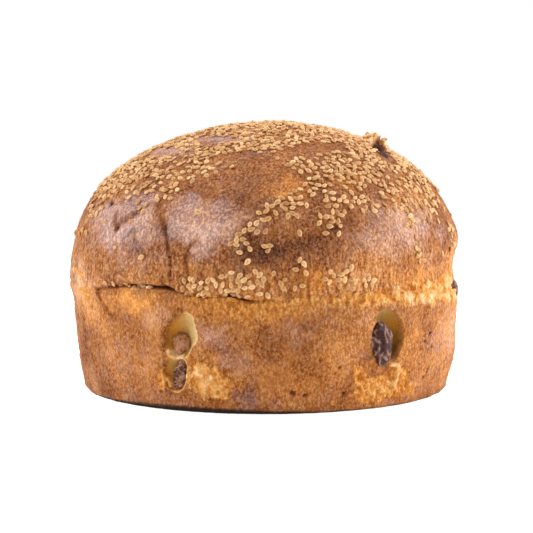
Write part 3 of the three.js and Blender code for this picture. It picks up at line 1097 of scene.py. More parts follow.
@dataclass
class Crust:
    """The loaf's crust, as a side and a dome that meet in the seam, with all the relief that shows."""

    columns: int = 800
    gather: float = 0.3
    base_rings: tuple[float, ...] = (18.0, 40.0, 58.0, 70.0)
    edge_rows: int = 5
    side_rows: int = 98
    lip_rows: int = 10
    foot_rows: int = 30
    dome_rows: int = 122
    halve_at: tuple[float, ...] = (52.0, 26.0, 13.0)
    gap_half_height: float = 0.95
    gap_depth: float = 3.2
    lip_rise: float = 1.7
    noise_seed: int = 7
    off_base: Rise = Rise(0.0, 0.5)
    # Edges that run round the loaf: their noise hardly changes with height
    upright_stretch: Triple = (1.0, 1.0, 0.04)
    # Torn strip along the seam, and torn patches of the side
    strip_spikes: Grits = (Grit(1.0, 5.0, crested=True), Grit(0.6, 2.2, crested=True))
    spike_middle: float = 0.9
    spike_reach: float = 4.0
    strip_ripple: Grit = Grit(1.8, 5.0, 3)
    strip_foot: Rise = Rise(-3.0, 4.0)
    strip_top: Rise = Rise(-0.8, 0.5)
    strip_width: Rise = Rise(1.2, 4.0)
    strip_pale: Rise = Rise(0.38, 0.56)
    strip_least: float = 0.7
    patch_ripple: Grit = Grit(0.8, 5.0, 4)
    patch_edge: Rise = Rise(0.0, 0.4)
    torn_edge: Rise = Rise(0.05, 1.5)
    # Paleness of the torn crumb
    strand_tones: Grits = (Grit(0.2, (2.1, 2.1, 4.2), crested=True), Grit(0.12, 1.6))
    strand_shift: float = 0.08
    strand_blotches: Grit = Grit(2.0, (6.0, 6.0, 8.0))
    blotches_from: float = 0.3
    strip_fade: float = 4.0
    crumb_pale: float = 0.4
    crumb_tones: Grit = Grit(0.3, 2.6, 3)
    # Bake of the skin, with painted shade in the creases and in the seam's gap
    patch_sway: Grit = Grit(4.5, 11.0, 3)
    sway_shift: float = 90.0
    dome_edge: Rise = Rise(-0.5, 2.0)
    side_bake: float = 0.445
    side_blotches: Grits = (Grit(0.13, 15.0), Grit(0.08, 3.5))
    side_speckle: float = 0.06
    dome_bake: float = 0.55
    dome_blotches: Grits = (Grit(0.12, 17.0), Grit(0.08, 3.0))
    dome_speckle: float = 0.11
    speckle: Grit = Grit(1.0, 1.3)
    foot: Rise = Rise(LOAF.seam_height, LOAF.widest_height + 8)
    foot_light: float = 0.16
    foot_streaks: Grit = Grit(0.24, (2.0, 2.0, 13.0))
    crease_spread: float = 1.6
    gap_painted_shade: float = 0.6
    near_base: Rise = Rise(3.0, 12.0)
    near_base_bake: float = 0.05
    under: Rise = Rise(0.0, 1.5)
    under_bake: float = 0.62
    # Painted sheen of the skin: a painted reflection of the soft boxes on the dome, and paler mauve patches
    # on the side
    painted_sheen_blotches: Grit = Grit(0.3, 7.0)
    painted_sheen_shift: float = -0.06
    painted_sheen_limits: Pair = (-1.0, 1.7)
    crease_clears: float = 6.0
    near_base_painted_sheen: float = 0.15
    dark_bake: Rise = Rise(0.66, 0.95)
    dark_clears: float = 0.7
    # Dark foot line, highest left of the front: partly scorched crust, partly painted contact shadow
    dark_foot_height: float = 0.7
    dark_foot_extra: float = 2.6
    dark_foot_angle: float = -20.0
    dark_foot_reach: float = 52.0
    dark_foot_solid: float = 0.55
    dark_foot_ring: Rise = Rise(LOAF.base_radius - 16, LOAF.base_radius - 4)
    # Relief beside the seam's gap: each swell's middle above the gap, its half height and its rise
    gap_ripple: Grit = Grit(0.35, 6.0)
    gap_swells: tuple[Triple, ...] = ((4.0, 3.5, 1.0), (-3.5, 3.0, 0.6), (0.0, 2.5, -0.5))
    # Relief of the torn crumb and of the skin
    strand_relief: Grits = (
        Grit(0.6, (2.1, 2.1, 4.2), crested=True),
        Grit(0.6, (3.4, 3.4, 5.0), crested=True),
    )
    strand_sink: float = 0.5
    strands_below: float = 4.0
    strand_crumbs: float = 0.4
    crumb_relief: Grit = Grit(0.9, 2.6, 3)
    skin_relief: Grits = (Grit(0.3, 9.0, 3), Grit(0.14, 1.5))
    side_relief: Grits = (Grit(0.16, 2.6), Grit(0.16, 1.9, crested=True))
    dome_relief: Grit = Grit(0.13, (2.6, 2.6, 3.2))
    foot_relief: Grit = Grit(0.24, (2.6, 2.6, 10.0), crested=True)
    foot_smooth: Rise = Rise(60.0, 84.0)
    # Small pits, with painted shade in them
    pit_seed: int = 5
    pit_count: int = 110
    pit_levels: Pair = (4.0, 42.0)
    pit_sizes: Pair = (0.4, 0.75)
    pit_shapes: Pair = (0.7, 1.2)
    pit_depth: float = 0.6
    pit_sway: Grit = Grit(0.8, 1.3, 1)
    pit_painted_shade: float = 0.55
    # Open pockets
    gentle_part: Rise = Rise(-0.1, 0.9)
    gentle_reach: float = 0.15
    gentle_curve: float = 0.6
    steep_curve: float = 0.5
    steep_edge: float = 0.98
    edge_blur: float = 0.02
    rim_sway: Grit = Grit(0.12, 7.0)
    rim_width: float = 0.12
    rim_least: float = 0.5
    wall_fade: Rise = Rise(1.0, 1.3)
    wall_torn: float = 0.5
    torn_outside: Rise = Rise(0.85, 1.0)
    deep_darkening: float = 0.5
    pocket_gloss: float = 0.2
    floor_shading: float = 0.3
    # Lips of crumb
    lip_paleness: float = 1.2
    # Torn flap near the top, with the cave under it, which has painted shade
    flap_rough: Grit = Grit(1.0, 3.4, 3)
    flap_lumps: Grit = Grit(1.0, 2.0, crested=True)
    flap_ragged: float = 0.4
    flap_body: float = 0.7
    flap_pale: float = 0.78
    rough_share: float = 0.6
    lump_share: float = 0.4
    lump_tone: float = 0.3
    flap_curve: float = 0.5
    flap_steep: Rise = Rise(0.0, 0.8)
    flap_steepness: float = 0.4
    flap_edge: Rise = Rise(0.95, 1.25)
    flap_torn: float = 0.85
    cave_across: Pair = (-0.95, 0.75)
    cave_along: Pair = (-0.3, 0.8)
    cave_edge: Rise = Rise(0.55, 1.0)
    cave_limit: float = 2.5
    cave_depth: float = 2.8
    cave_painted_shade: float = 0.6
    cave_painted_deep_shade: float = 0.45
    seam: tuple[SeamStation, ...] = records(
        SeamStation,
        (-180, 0.5, 48.0, 44.5, 48.2, 0.4),
        (-168, 0.1, 49.6, 42.5, 50.4, 0.5),
        (-158, 0.6, 47.4, 45.0, 47.4, 0.35),
        (-145, 0.0, 48.5, 41.5, 51.0, 0.7),
        (-128, 0.3, 47.6, 43.0, 48.6, 0.45),
        (-114, 0.8, 49.4, 46.0, 48.8, 0.35),
        (-102, 0.1, 47.6, 42.6, 49.0, 0.45),
        (-92, 0.05, 48.4, 45.6, 47.4, 0.4),
        (-60, 0.0, 47.4, 45.6, 47.6, 0.45),
        (-56, 0.15, 47.8, 46.6, 47.8, 0.4),
        (-47.5, 0.4, 49.9, 48.0, 49.2, 0.4),
        (-43, 0.9, 50.6, 48.6, 49.8, 0.4),
        (-36, 1.1, 51.0, 48.8, 50.0, 0.4),
        (-29, 1.0, 50.7, 48.0, 49.6, 0.4),
        (-24, 0.5, 48.8, 46.0, 49.0, 0.35),
        (-15, 0.1, 48.4, 42.0, 49.8, 0.34),
        (-9, 0.5, 49.2, 39.4, 49.0, 0.36),
        (-4, 0.6, 46.6, 39.6, 46.8, 0.36),
        (1, 0.1, 46.8, 40.6, 48.0, 0.36),
        (20, 0.1, 46.0, 44.2, 49.2, 0.42),
        (34, 0.0, 47.2, 43.7, 50.0, 0.6),
        (62, 0.0, 50.0, 40.5, 52.5, 0.54),
        (88, 0.0, 50.0, 39.0, 53.5, 0.52),
        (112, 0.2, 48.8, 41.0, 50.5, 0.5),
        (124, 0.8, 47.6, 45.0, 47.4, 0.35),
        (138, 0.1, 49.4, 42.0, 50.2, 0.5),
        (152, 0.8, 48.0, 45.2, 47.6, 0.3),
        (166, 0.1, 49.0, 42.6, 49.8, 0.45),
        (180, 0.5, 48.0, 44.5, 48.2, 0.4),
    )
    creases: tuple[Crease, ...] = (
        Crease(
            ((-26.2, 50), (-27.3, 57), (-26.9, 62), (-28.3, 68), (-29.3, 72), (-31, 76)), 0.7, 1.1, 0.2, 0.6
        ),
        Crease(((-31, 76), (-32.9, 80), (-35, 84)), 1.6, 0.7, 0.14, 0.3),
        Crease(((-21.3, 55), (-22.1, 62), (-21.8, 67), (-19.7, 70.5)), 0.8, 0.7, 0.16, 0.7),
        Crease(((-49, 37.5), (-50.7, 39.1), (-53.7, 43.3), (-55.8, 47.6)), 0.6, 0.9, 0.22, -0.6),
        Crease(((-48.7, 73.7), (-47.4, 76.4), (-44.6, 78.2), (-41.6, 81.5)), 1.1, 0.9, 0.15, -0.6),
        Crease(((-48.7, 73.7), (-50.4, 76.5), (-51, 79)), 1.0, 0.7, 0.17, 0.4),
        Crease(((54.5, 66), (57.2, 73)), 1.6, 0.5, 0.1),
        Crease(((0, 66), (9.5, 70), (14, 72.7), (18.7, 76), (23.7, 78.3)), 3.0, 1.3, 0.08),
        Crease(((164, 48), (162, 62), (158, 78)), 0.9, 1.3, 0.24, 0.5),
        Crease(((238, 48), (236, 60), (233, 72)), 0.9, 1.2, 0.22, 0.5),
        Crease(((96, 50), (94, 62), (91, 74)), 0.9, 1.2, 0.22, 0.4),
    )
    torn_patches: Patches = records(
        Patch,
        (34.5, 9.5, 17, 10, 1.8),
        (42, 13, 8, 9, 1.5),
        (46, 7, 11, 7, 1.1),
        (30, 5, 12, 5, 0.9),
        (27, 15, 6, 8, 1.2),
        (32, 16.8, 5.5, 4.2, -1.9),
        (-18, 14.5, 12.5, 12, 1.6),
        (-12, 9.5, 12, 8, 1.1),
        (-31, 13, 5, 7, 1.1),
        (8.5, 5.5, 10, 5, 0.7),
        (20, 4, 8, 4, 0.6),
        (-6, 41, 13, 5, 0.5),
        (-66, 45.8, 7, 1.8, 0.9, 4),
        (-63, 52.5, 5, 1.3, 0.8),
        (140, 12, 12, 7, 1.2),
        (205, 9, 11, 7, 1.15),
        (262, 14, 9, 7, 1.15),
    )
    lips: tuple[Crease, ...] = (
        Crease(((39.6, 8.4), (40, 12), (41.2, 15), (41, 17.3), (39.6, 18.6), (37.8, 18.6)), 1.25, -1.2, 0.75),
        Crease(((26.1, 12.5), (25.6, 16), (25.2, 19.5)), 0.8, -0.5, 0.35),
        Crease(((-28.4, 10.8), (-28.9, 13), (-30.6, 14.2)), 1.2, -0.4, 0.5),
        Crease(((-26.6, 22), (-27.9, 23.4), (-28.3, 25.2)), 1.5, -0.3, 0.7),
        Crease(((-26.6, 22), (-25.2, 22.2), (-23.6, 23.2)), 0.9, -0.2, 0.66),
        Crease(((-66, 45.6), (-60, 44.8)), 1.5, -0.3, 0.5),
        Crease(((-70, 54.4), (-66, 53.4), (-62.4, 52.7)), 1.3, -0.2, 0.45),
    )
    # The two negative patches are painted shade in the dark hollows of the torn patch below the right pocket
    pale_patches: Patches = records(
        Patch,
        (-17.5, 14, 13, 12, 0.28),
        (-31, 14, 5, 7, 0.15),
        (35, 9, 14, 8, 0.12),
        (27.5, 14.8, 3.2, 2.8, -0.4),
        (37.6, 15.4, 3.2, 2.6, -0.4),
        (72, 47, 22, 9, 0.12),
    )
    # Patches of darker or lighter bake; some are painted light and shade: the darker dome front where it
    # faces down, the darker far left of the side, the lighter right side and the lit lip under the seam's gap
    bake_and_painted_light_patches: Patches = records(
        Patch,
        (3, 66, 26, 12, 0.2),
        (15, 74, 14, 5, 0.06, 22),
        (1, 62.5, 18, 8, 0.11),
        (-31, 75, 8, 7, 0.16),
        (-42, 71, 4, 3.5, 0.2),
        (-38.5, 66, 4, 3.5, 0.18),
        (5, 90, 16, 6, -0.24, 22),
        (28, 93, 14, 6, -0.2, 14),
        (50, 55, 26, 8, -0.16),
        (74, 60, 22, 18, -0.26),
        (70, 28, 34, 22, -0.19),
        (-68, 46, 18, 11, -0.23),
        (-59, 37, 16, 10, -0.2),
        (13, 54, 16, 7, -0.04),
        (-64, 19, 16, 19, 0.18),
        (-40, 60, 26, 10, -0.06),
        (48, 88, 30, 16, -0.1),
        (-75, 66, 22, 16, -0.12),
        (-44, 77, 32, 15, -0.06),
        (-16, 78, 22, 15, -0.13),
        (46, 73, 33, 14, -0.15),
        (33, 66, 20, 9, -0.05),
        (25, 25, 16, 16, -0.13),
        (-58, 92, 24, 14, -0.1),
        (-5, 97, 26, 12, 0.03),
        (-40, 45.5, 24, 5.5, -0.28),
        (-6, 42, 30, 6, -0.14),
        (-33.6, 39.5, 11, 6, -0.08),
        (-14.5, 31, 11, 8, -0.06),
        (-9.5, 22.6, 11, 10, 0.12),
        (-4.5, 8, 9, 6, 0.18),
        (12, 38, 12, 4, 0.16),
        (1, 29, 11, 9, 0.14),
        (47, 28, 8, 16, -0.14),
        (150, 66, 30, 14, 0.2),
        (170, 30, 20, 12, 0.15),
        (-120, 28, 16, 10, 0.16),
        (-130, 92, 30, 14, -0.12),
    )
    pits: Patches = records(
        Patch,
        (15, 22.3, 1.1, 1.2, 1.0),
        (21, 19.4, 1.0, 0.9, 0.9),
        (19.7, 17, 0.9, 0.9, 0.8),
        (22.5, 8.2, 1.3, 1.2, 1.1),
        (7.7, 9.3, 1.6, 2.2, 1.2),
        (11.3, 8.3, 1.1, 1.1, 1.0),
        (54.3, 28.5, 1.4, 1.9, 1.1, -25),
        (52.7, 26.2, 1.2, 1.5, 0.9),
        (56.3, 23.2, 0.9, 1.4, 0.8, 10),
        (55.8, 13.2, 1.0, 2.4, 1.0, -20),
        (54.1, 10.4, 1.2, 1.4, 0.9),
        (-13.4, 9.1, 1.5, 1.3, 1.1),
        (-71.9, 17, 1.3, 1.1, 0.9),
        (-56.8, 83.3, 1.9, 2.0, 1.7),
        (-40.2, 39.5, 0.9, 0.8, 0.7),
    )
    pocket_looks: tuple[PocketLook, ...] = records(
        PocketLook,
        (1, 0.86, 0.42, 0.25, 0.0, -0.06),
        (-1, 0.62, 0.54, 0.9),
        (-1, 0.7, 0.62, 0.8, 0.0, 0.15),
        (0, 0.8, 0.1, 0.3, 1.0),
        (1, 0.55, 0.4, 0.7, 0.35),
        (-1, 0.3, 0.55, 0.8, 0.45),
        (1, 0.4, 0.45, 0.7, 0.3),
    )
    # Painted sheen where positive, mostly a painted reflection of the soft boxes on the dome, with paler
    # mauve patches on the side; golden tint where negative
    painted_sheen_patches: Patches = records(
        Patch,
        (-47, 77, 38, 19, 1.3),
        (-18, 77, 27, 17, 1.12),
        (-31, 86, 20, 9, 0.5),
        (2, 98, 28, 11, -0.3),
        (-17, 70, 11, 10, 0.45),
        (-57, 105, 24, 10, 1.0),
        (-34, 110.5, 24, 9, 1.0),
        (46, 74, 35, 16, 0.82),
        (28, 70, 15, 8, 0.4),
        (-5, 64, 14, 6, 0.1),
        (-33.6, 39.5, 12, 7, 0.5),
        (-14.5, 32, 12, 9, 0.55),
        (-9.5, 22.6, 12, 10, 0.35),
        (-4.5, 8, 10, 6, 0.3),
        (8, 36, 16, 6, 0.2),
        (-45, 22, 20, 14, 0.15),
        (5, 90, 18, 7.5, -0.9, 22),
        (28, 93, 15, 7, -0.8, 14),
        (48, 54, 28, 9, -0.8),
        (13, 54, 18, 8, -1.0),
        (17, 74.5, 13, 4, -1.0, 22),
        (72, 56, 18, 11, -0.6),
        (-40, 45.5, 26, 6, -0.7),
        (-4, 42.5, 34, 7, -0.9),
        (-17, 14, 17, 15, -1.2),
        (35, 10, 20, 13, -0.8),
        (46, 26, 9, 16, -0.4),
        (72, 26, 32, 19, 0.42),
        (-72, 44, 15, 8, 0.35),
        (-66, 52, 18, 12, 0.6),
        (-40, 60, 26, 8, 0.25),
        (10, 14, 26, 14, -0.35),
        (140, 78, 26, 14, 0.7),
        (200, 76, 22, 12, 0.7),
        (-110, 80, 24, 13, 0.7),
        (160, 24, 20, 12, 0.35),
        (-140, 22, 20, 12, 0.35),
    )

    def build(self) -> list[Piece]:
        """Build the crust.

        Returns:
            The objects of its side and its dome, without a material.
        """
        rings, angle, points, away = self.smooth_points()
        noise = Grain(self.noise_seed)
        spots = self.spots(points, angle)
        height = spots.height
        layers = self.layers(spots, noise)
        relief = LOAF.relief(points, angle) + self.fine_relief(spots, layers, noise)
        off_base = self.off_base.at(height)
        risen = np.clip(height - LOAF.widest_height, 0, None) / LOAF.dome_rise
        shaped = points + away * (relief * off_base)[:, None]
        shaped[:, 0] += LOAF.dome_lean * risen**2
        shaped[:, 2] += LOAF.seam_shift(height, angle) * off_base
        self.open_pockets(shaped, layers, noise)
        self.raise_lips(shaped, away, spots, layers)
        self.raise_crag(shaped, layers, noise)

        seam_ring = len(self.base_rings) + self.edge_rows + self.side_rows + self.lip_rows
        parts = {"crust_side": rings[: seam_ring + 1], "crust_dome": rings[seam_ring:]}
        pieces = []
        for name, part in parts.items():
            first = 0 if part[0] is rings[0] else int(part[0][0])
            last = len(points) if part[-1] is rings[-1] else int(part[-1][-1]) + 1
            values = {layer.value: amount[first:last] for layer, amount in layers.items()}
            faces = self.faces(part, len(points)) - first
            whole = [[corner for corner in face if corner >= 0] for face in faces.tolist()]
            pieces.append(make_mesh(name, shaped[first:last], whole, values))
        return pieces

    def outline(self) -> Array:
        """Draw half the outline of the smooth loaf.

        Returns:
            Radius and height of each ring, from near the middle of the flat base to just under the top.
        """
        quarter = math.pi / 2
        base = np.linspace(0, quarter, self.edge_rows + 1)
        edge = [LOAF.base_radius - LOAF.base_edge * (1 - np.sin(base)), LOAF.base_edge * (1 - np.cos(base))]
        side = np.linspace(LOAF.base_edge, LOAF.lip_height, self.side_rows + 1)[1:]
        lip = np.linspace(0, quarter, self.lip_rows + 1)[1:]
        foot = np.linspace(0, quarter, self.foot_rows + 1)[1:]
        dome = np.linspace(0, quarter, self.dome_rows + 1)[1:-1]
        seam_radius = LOAF.lip_radius - LOAF.seam_depth
        lip_rise = LOAF.seam_height - LOAF.lip_height
        foot_rise = LOAF.widest_height - LOAF.seam_height
        sections = [
            [self.base_rings, np.zeros(len(self.base_rings))],
            edge,
            [LOAF.smooth_radius(side), side],
            [seam_radius + LOAF.seam_depth * np.cos(lip), LOAF.lip_height + lip_rise * np.sin(lip)],
            [
                seam_radius + (LOAF.dome_radius - seam_radius) * np.sin(foot),
                LOAF.widest_height - foot_rise * np.cos(foot),
            ],
            [LOAF.dome_radius * np.cos(dome), LOAF.widest_height + LOAF.dome_rise * np.sin(dome)],
        ]
        return np.vstack([np.column_stack(section) for section in sections])

    def smooth_points(self) -> tuple[list[Array], Array, Array, Array]:
        """Lay the smooth crust's points ring by ring, with fewer to a ring near the top.

        Returns:
            The point numbers of each ring, and each point's angle, place and way out of the crust. The first
            point is the middle of the base and the last is the top.
        """
        outline = self.outline()
        along = np.gradient(outline, axis=0)
        out = np.column_stack([along[:, 1], -along[:, 0]])
        out /= np.linalg.norm(out, axis=1, keepdims=True)
        even = np.linspace(0, 2 * math.pi, self.columns, endpoint=False)
        turns = even - self.gather * np.sin(even)
        rings, turn, row = [], [], []
        count = 1
        for number, (radius, height) in enumerate(outline):
            halvings = sum(radius < limit for limit in self.halve_at) if height > LOAF.widest_height else 0
            kept = turns[:: 2**halvings]
            rings.append(np.arange(count, count + len(kept)))
            turn.append(kept)
            row.append(np.full(len(kept), number))
            count += len(kept)
        all_turns, all_rows = np.concatenate(turn), np.concatenate(row)
        sine, cosine = np.sin(all_turns), np.cos(all_turns)
        radius, height = outline[all_rows].T
        outward, upward = out[all_rows].T
        points = np.column_stack([radius * sine, -radius * cosine, height])
        away = np.column_stack([outward * sine, -outward * cosine, upward])
        points = np.vstack([[0.0, 0.0, 0.0], points, [0.0, 0.0, LOAF.loaf_height]])
        away = np.vstack([[0.0, 0.0, -1.0], away, [0.0, 0.0, 1.0]])
        angle = np.concatenate([[0.0], np.degrees(all_turns), [0.0]])
        return rings, angle_between(angle, 0.0), points, away

    def faces(self, rings: list[Array], count: int) -> Array:
        """Join rings into faces, and close the base and the top where the rings reach them.

        Args:
            rings: Point numbers of each ring.
            count: Number of points of the whole crust.

        Returns:
            Faces facing out, one a row, with a fourth corner far below 0 for a triangle.
        """
        none = -count
        faces = []

        def add(*corners: Any) -> None:
            """Add a face for each row of corners, three or four to a face."""
            filled = [*corners, none] if len(corners) == 3 else list(corners)
            faces.append(np.column_stack(np.broadcast_arrays(*filled)))

        for low, high in zip(rings, rings[1:]):
            high_next = np.roll(high, -1)
            if len(low) == len(high):
                add(low, np.roll(low, -1), high_next, high)
            else:
                first, middle = low[::2], low[1::2]
                add(first, middle, high)
                add(middle, high_next, high)
                add(middle, np.roll(first, -1), high_next)
        if rings[0][0] == 1:
            add(0, np.roll(rings[0], -1), rings[0])
        if rings[-1][-1] == count - 2:
            add(count - 1, rings[-1], np.roll(rings[-1], -1))
        return np.vstack(faces)

    def spots(self, points: Array, angle: Array) -> CrustSpots:
        """Gather what is known of points of the smooth crust.

        Args:
            points: The points.
            angle: Angle of each point round the loaf.

        Returns:
            The points, with the seam's values at every angle taken between its stations.
        """
        height = points[:, 2]
        level = height + LOAF.seam_shift(height, angle)
        table = np.array([[s.angle, s.gap, s.line, s.low, s.high, s.pale] for s in self.seam])
        seam = SeamStation(angle, *(np.interp(angle, table[:, 0], column) for column in table[:, 1:].T))
        return CrustSpots(points, angle, height, level, seam)

    def layers(self, spots: CrustSpots, noise: Grain) -> Masks:
        """Work out the crust's masks.

        Args:
            spots: Points of the smooth crust.
            noise: Noise to draw from.

        Returns:
            One value for each point in each layer.
        """
        dome = self.dome_edge.at(spots.level - spots.seam.line)
        torn = self.torn_mask(spots, noise)
        bake_and_shade, painted_sheen = self.darkness_and_painted_sheen(spots, dome, noise)
        return {
            CrustLayer.BAKE: bake_and_shade,
            CrustLayer.TORN: torn,
            CrustLayer.PALE: np.clip(self.paleness(spots, noise), 0, 1),
            CrustLayer.HOLLOW: np.zeros(len(torn)),
            CrustLayer.DOME: dome * (1 - torn),
            CrustLayer.SCORCH_AND_SHADE: self.mark_dark_foot(spots),
            CrustLayer.SHEEN_AND_TINT: painted_sheen * (1 - torn),
        }

    def torn_mask(self, spots: CrustSpots, noise: Grain) -> Array:
        """Mark where the crust is torn: the strip along the seam, and patches of the side.

        Args:
            spots: Points of the smooth crust.
            noise: Noise that makes the edges ragged.

        Returns:
            One value for each point, 1 where the crust is torn.
        """
        points, level, seam = spots.points, spots.level, spots.seam
        ringed = points * self.upright_stretch
        spikes = grit_sum(ringed, self.strip_spikes, noise) - self.spike_middle
        top = seam.high + self.spike_reach * seam.pale * spikes
        bottom = seam.low + self.strip_ripple.over(ringed, noise)
        strip = self.strip_foot.at(level - bottom) * (1 - self.strip_top.at(level - top))
        strip *= self.strip_width.at(seam.high - seam.low)
        strip *= self.strip_least + (1 - self.strip_least) * self.strip_pale.at(seam.pale)
        patches = LOAF.patch_sum(points, self.torn_patches)
        ragged = self.patch_ripple.over(points, noise) * self.patch_edge.at(patches)
        return np.maximum(strip, self.torn_edge.at(patches + ragged))

    def paleness(self, spots: CrustSpots, noise: Grain) -> Array:
        """Work out how pale the crumb is where the crust is torn.

        Args:
            spots: Points of the smooth crust.
            noise: Noise of strands and crumbs.

        Returns:
            One value for each point, 0 for brown and 1 for cream.
        """
        points, level, seam = spots.points, spots.level, spots.seam
        strands = grit_sum(points, self.strand_tones, noise) - self.strand_shift
        strands += (seam.pale - self.blotches_from) * self.strand_blotches.over(points, noise)
        crumbs = self.crumb_pale + self.crumb_tones.over(points, noise)
        at_strip = np.exp(-((np.clip(seam.low - level, 0, None) / self.strip_fade) ** 2))
        pale = (seam.pale + strands) * at_strip + crumbs * (1 - at_strip)
        return pale + LOAF.patch_sum(points, self.pale_patches)

    def darkness_and_painted_sheen(self, spots: CrustSpots, dome: Array, noise: Grain) -> tuple[Array, Array]:
        """Work out how dark the skin is, by its bake and by painted shade, and its painted sheen.

        Args:
            spots: Points of the smooth crust.
            dome: Mask of the dome, 1 above the seam.
            noise: Noise to draw from.

        Returns:
            The darkness, 0 for peach and 1 for dark brown, and the painted sheen, negative where the skin is
            tinted golden.
        """
        points, height, level, seam = spots.points, spots.height, spots.level, spots.seam
        drift = [self.patch_sway.over(points + self.sway_shift * axis, noise) for axis in range(3)]
        swayed = points + np.column_stack(drift)
        side_bake = self.side_bake + grit_sum(points, self.side_blotches, noise)
        dome_bake = self.dome_bake + grit_sum(points, self.dome_blotches, noise)
        dome_bake -= (self.foot_light + self.foot_streaks.over(points, noise)) * (1 - self.foot.at(height))
        bake_and_shade = side_bake + (dome_bake - side_bake) * dome + LOAF.patch_sum(swayed, self.bake_and_painted_light_patches)
        speckle = self.side_speckle + (self.dome_speckle - self.side_speckle) * dome
        bake_and_shade -= speckle * self.speckle.over(points, noise)
        # Painted shade: darker in the creases and in the seam's gap
        painted_crease_shade = np.zeros(len(points))
        for crease in self.creases:
            across = crease.across(spots.angle, level) / (self.crease_spread * crease.half_width)
            painted_crease_shade += crease.shade * np.exp(-(across**2))
        bake_and_shade += painted_crease_shade + self.gap_painted_shade * seam.gap * bump((level - seam.line) / self.gap_half_height)
        painted_sheen = LOAF.patch_sum(swayed, self.painted_sheen_patches)
        painted_sheen += self.painted_sheen_blotches.over(points, noise) + self.painted_sheen_shift
        painted_sheen = np.where(painted_sheen > 0, np.clip(painted_sheen - self.crease_clears * painted_crease_shade, 0, None), painted_sheen)
        near_base, under = 1 - self.near_base.at(height), 1 - self.under.at(height)
        bake_and_shade += self.near_base_bake * near_base
        bake_and_shade += (self.under_bake - bake_and_shade) * under
        painted_sheen = (painted_sheen + self.near_base_painted_sheen * near_base) * (1 - under)
        return bake_and_shade, np.clip(painted_sheen, *self.painted_sheen_limits) * (1 - self.dark_clears * self.dark_bake.at(bake_and_shade))

    def mark_dark_foot(self, spots: CrustSpots) -> Array:
        """Mark the dark foot line, partly scorched crust and partly painted contact shadow, which is highest
        left of the front.

        Args:
            spots: Points of the smooth crust.

        Returns:
            One value for each point, 1 where the foot is darkest.
        """
        top = self.dark_foot_height + self.dark_foot_extra * bump((spots.angle - self.dark_foot_angle) / self.dark_foot_reach)
        scorched = 1 - ease(spots.height, self.dark_foot_solid * top, top)
        return scorched * self.dark_foot_ring.at(np.hypot(spots.points[:, 0], spots.points[:, 1]))

    def fine_relief(self, spots: CrustSpots, layers: Masks, noise: Grain) -> Array:
        """Work out relief that is finer than the solid's: the seam's gap, torn strands, creases and pits.

        Args:
            spots: Points of the smooth crust.
            layers: The crust's masks; pits take painted shade into the bake and take the painted sheen off in
                place.
            noise: Noise to draw from.

        Returns:
            One height for each point.
        """
        relief = self.gap_relief(spots, noise)
        relief += self.skin_and_crumb_relief(spots, layers, noise)
        for crease in self.creases:
            relief += crease.relief(crease.across(spots.angle, spots.level))
        swayed = spots.points + self.pit_sway.over(spots.points, noise)[:, None]
        pits = LOAF.patch_sum(swayed, [*self.pits, *self.small_pits()])
        in_pit = np.clip(pits, 0, 1)
        # Painted shade in the pits
        layers[CrustLayer.BAKE] += self.pit_painted_shade * in_pit
        layers[CrustLayer.SHEEN_AND_TINT] *= 1 - in_pit
        return relief - pits

    def gap_relief(self, spots: CrustSpots, noise: Grain) -> Array:
        """Work out the relief of the seam's gap and of the crust beside it.

        Args:
            spots: Points of the smooth crust.
            noise: Noise that makes the gap wander.

        Returns:
            One height for each point.
        """
        height, seam = spots.height, spots.seam
        radius = np.hypot(spots.points[:, 0], spots.points[:, 1])
        above = spots.level - seam.line + self.gap_ripple.over(spots.points * self.upright_stretch, noise)
        swell = sum(rise * bump((above - middle) / reach) for middle, reach, rise in self.gap_swells)
        gap = swell - self.gap_depth * bump(above / self.gap_half_height)
        in_groove = (height > LOAF.lip_height) & (height < LOAF.widest_height)
        return seam.gap * gap + np.clip(LOAF.dome_radius - radius, 0, None) * in_groove

    def skin_and_crumb_relief(self, spots: CrustSpots, layers: Masks, noise: Grain) -> Array:
        """Work out the relief of torn strands and crumbs, and of the skin's fine wrinkles.

        Args:
            spots: Points of the smooth crust.
            layers: The crust's masks.
            noise: Noise to draw from.

        Returns:
            One height for each point.
        """
        points, at_strip = spots.points, spots.level > spots.seam.low - self.strands_below
        torn, dome = layers[CrustLayer.TORN], layers[CrustLayer.DOME]
        crumbs = self.crumb_relief.over(points, noise)
        strands = grit_sum(points, self.strand_relief, noise) - self.strand_sink + self.strand_crumbs * crumbs
        relief = torn * np.where(at_strip, strands, crumbs)
        relief += grit_sum(points, self.skin_relief, noise)
        relief += (1 - dome) * grit_sum(points, self.side_relief, noise)
        relief += dome * (1 - self.foot_smooth.at(spots.height)) * self.foot_relief.over(points, noise)
        return relief + dome * self.dome_relief.over(points, noise)

    def small_pits(self) -> list[Patch]:
        """Scatter small pits over the side.

        Returns:
            The pits.
        """
        draw = np.random.default_rng(self.pit_seed)
        turns = draw.uniform(-180, 180, self.pit_count)
        sizes = draw.uniform(*self.pit_sizes, self.pit_count)
        return [
            Patch(
                turn, draw.uniform(*self.pit_levels), size, size * draw.uniform(*self.pit_shapes),
                self.pit_depth * size,
            )
            for turn, size in zip(turns, sizes)
        ]

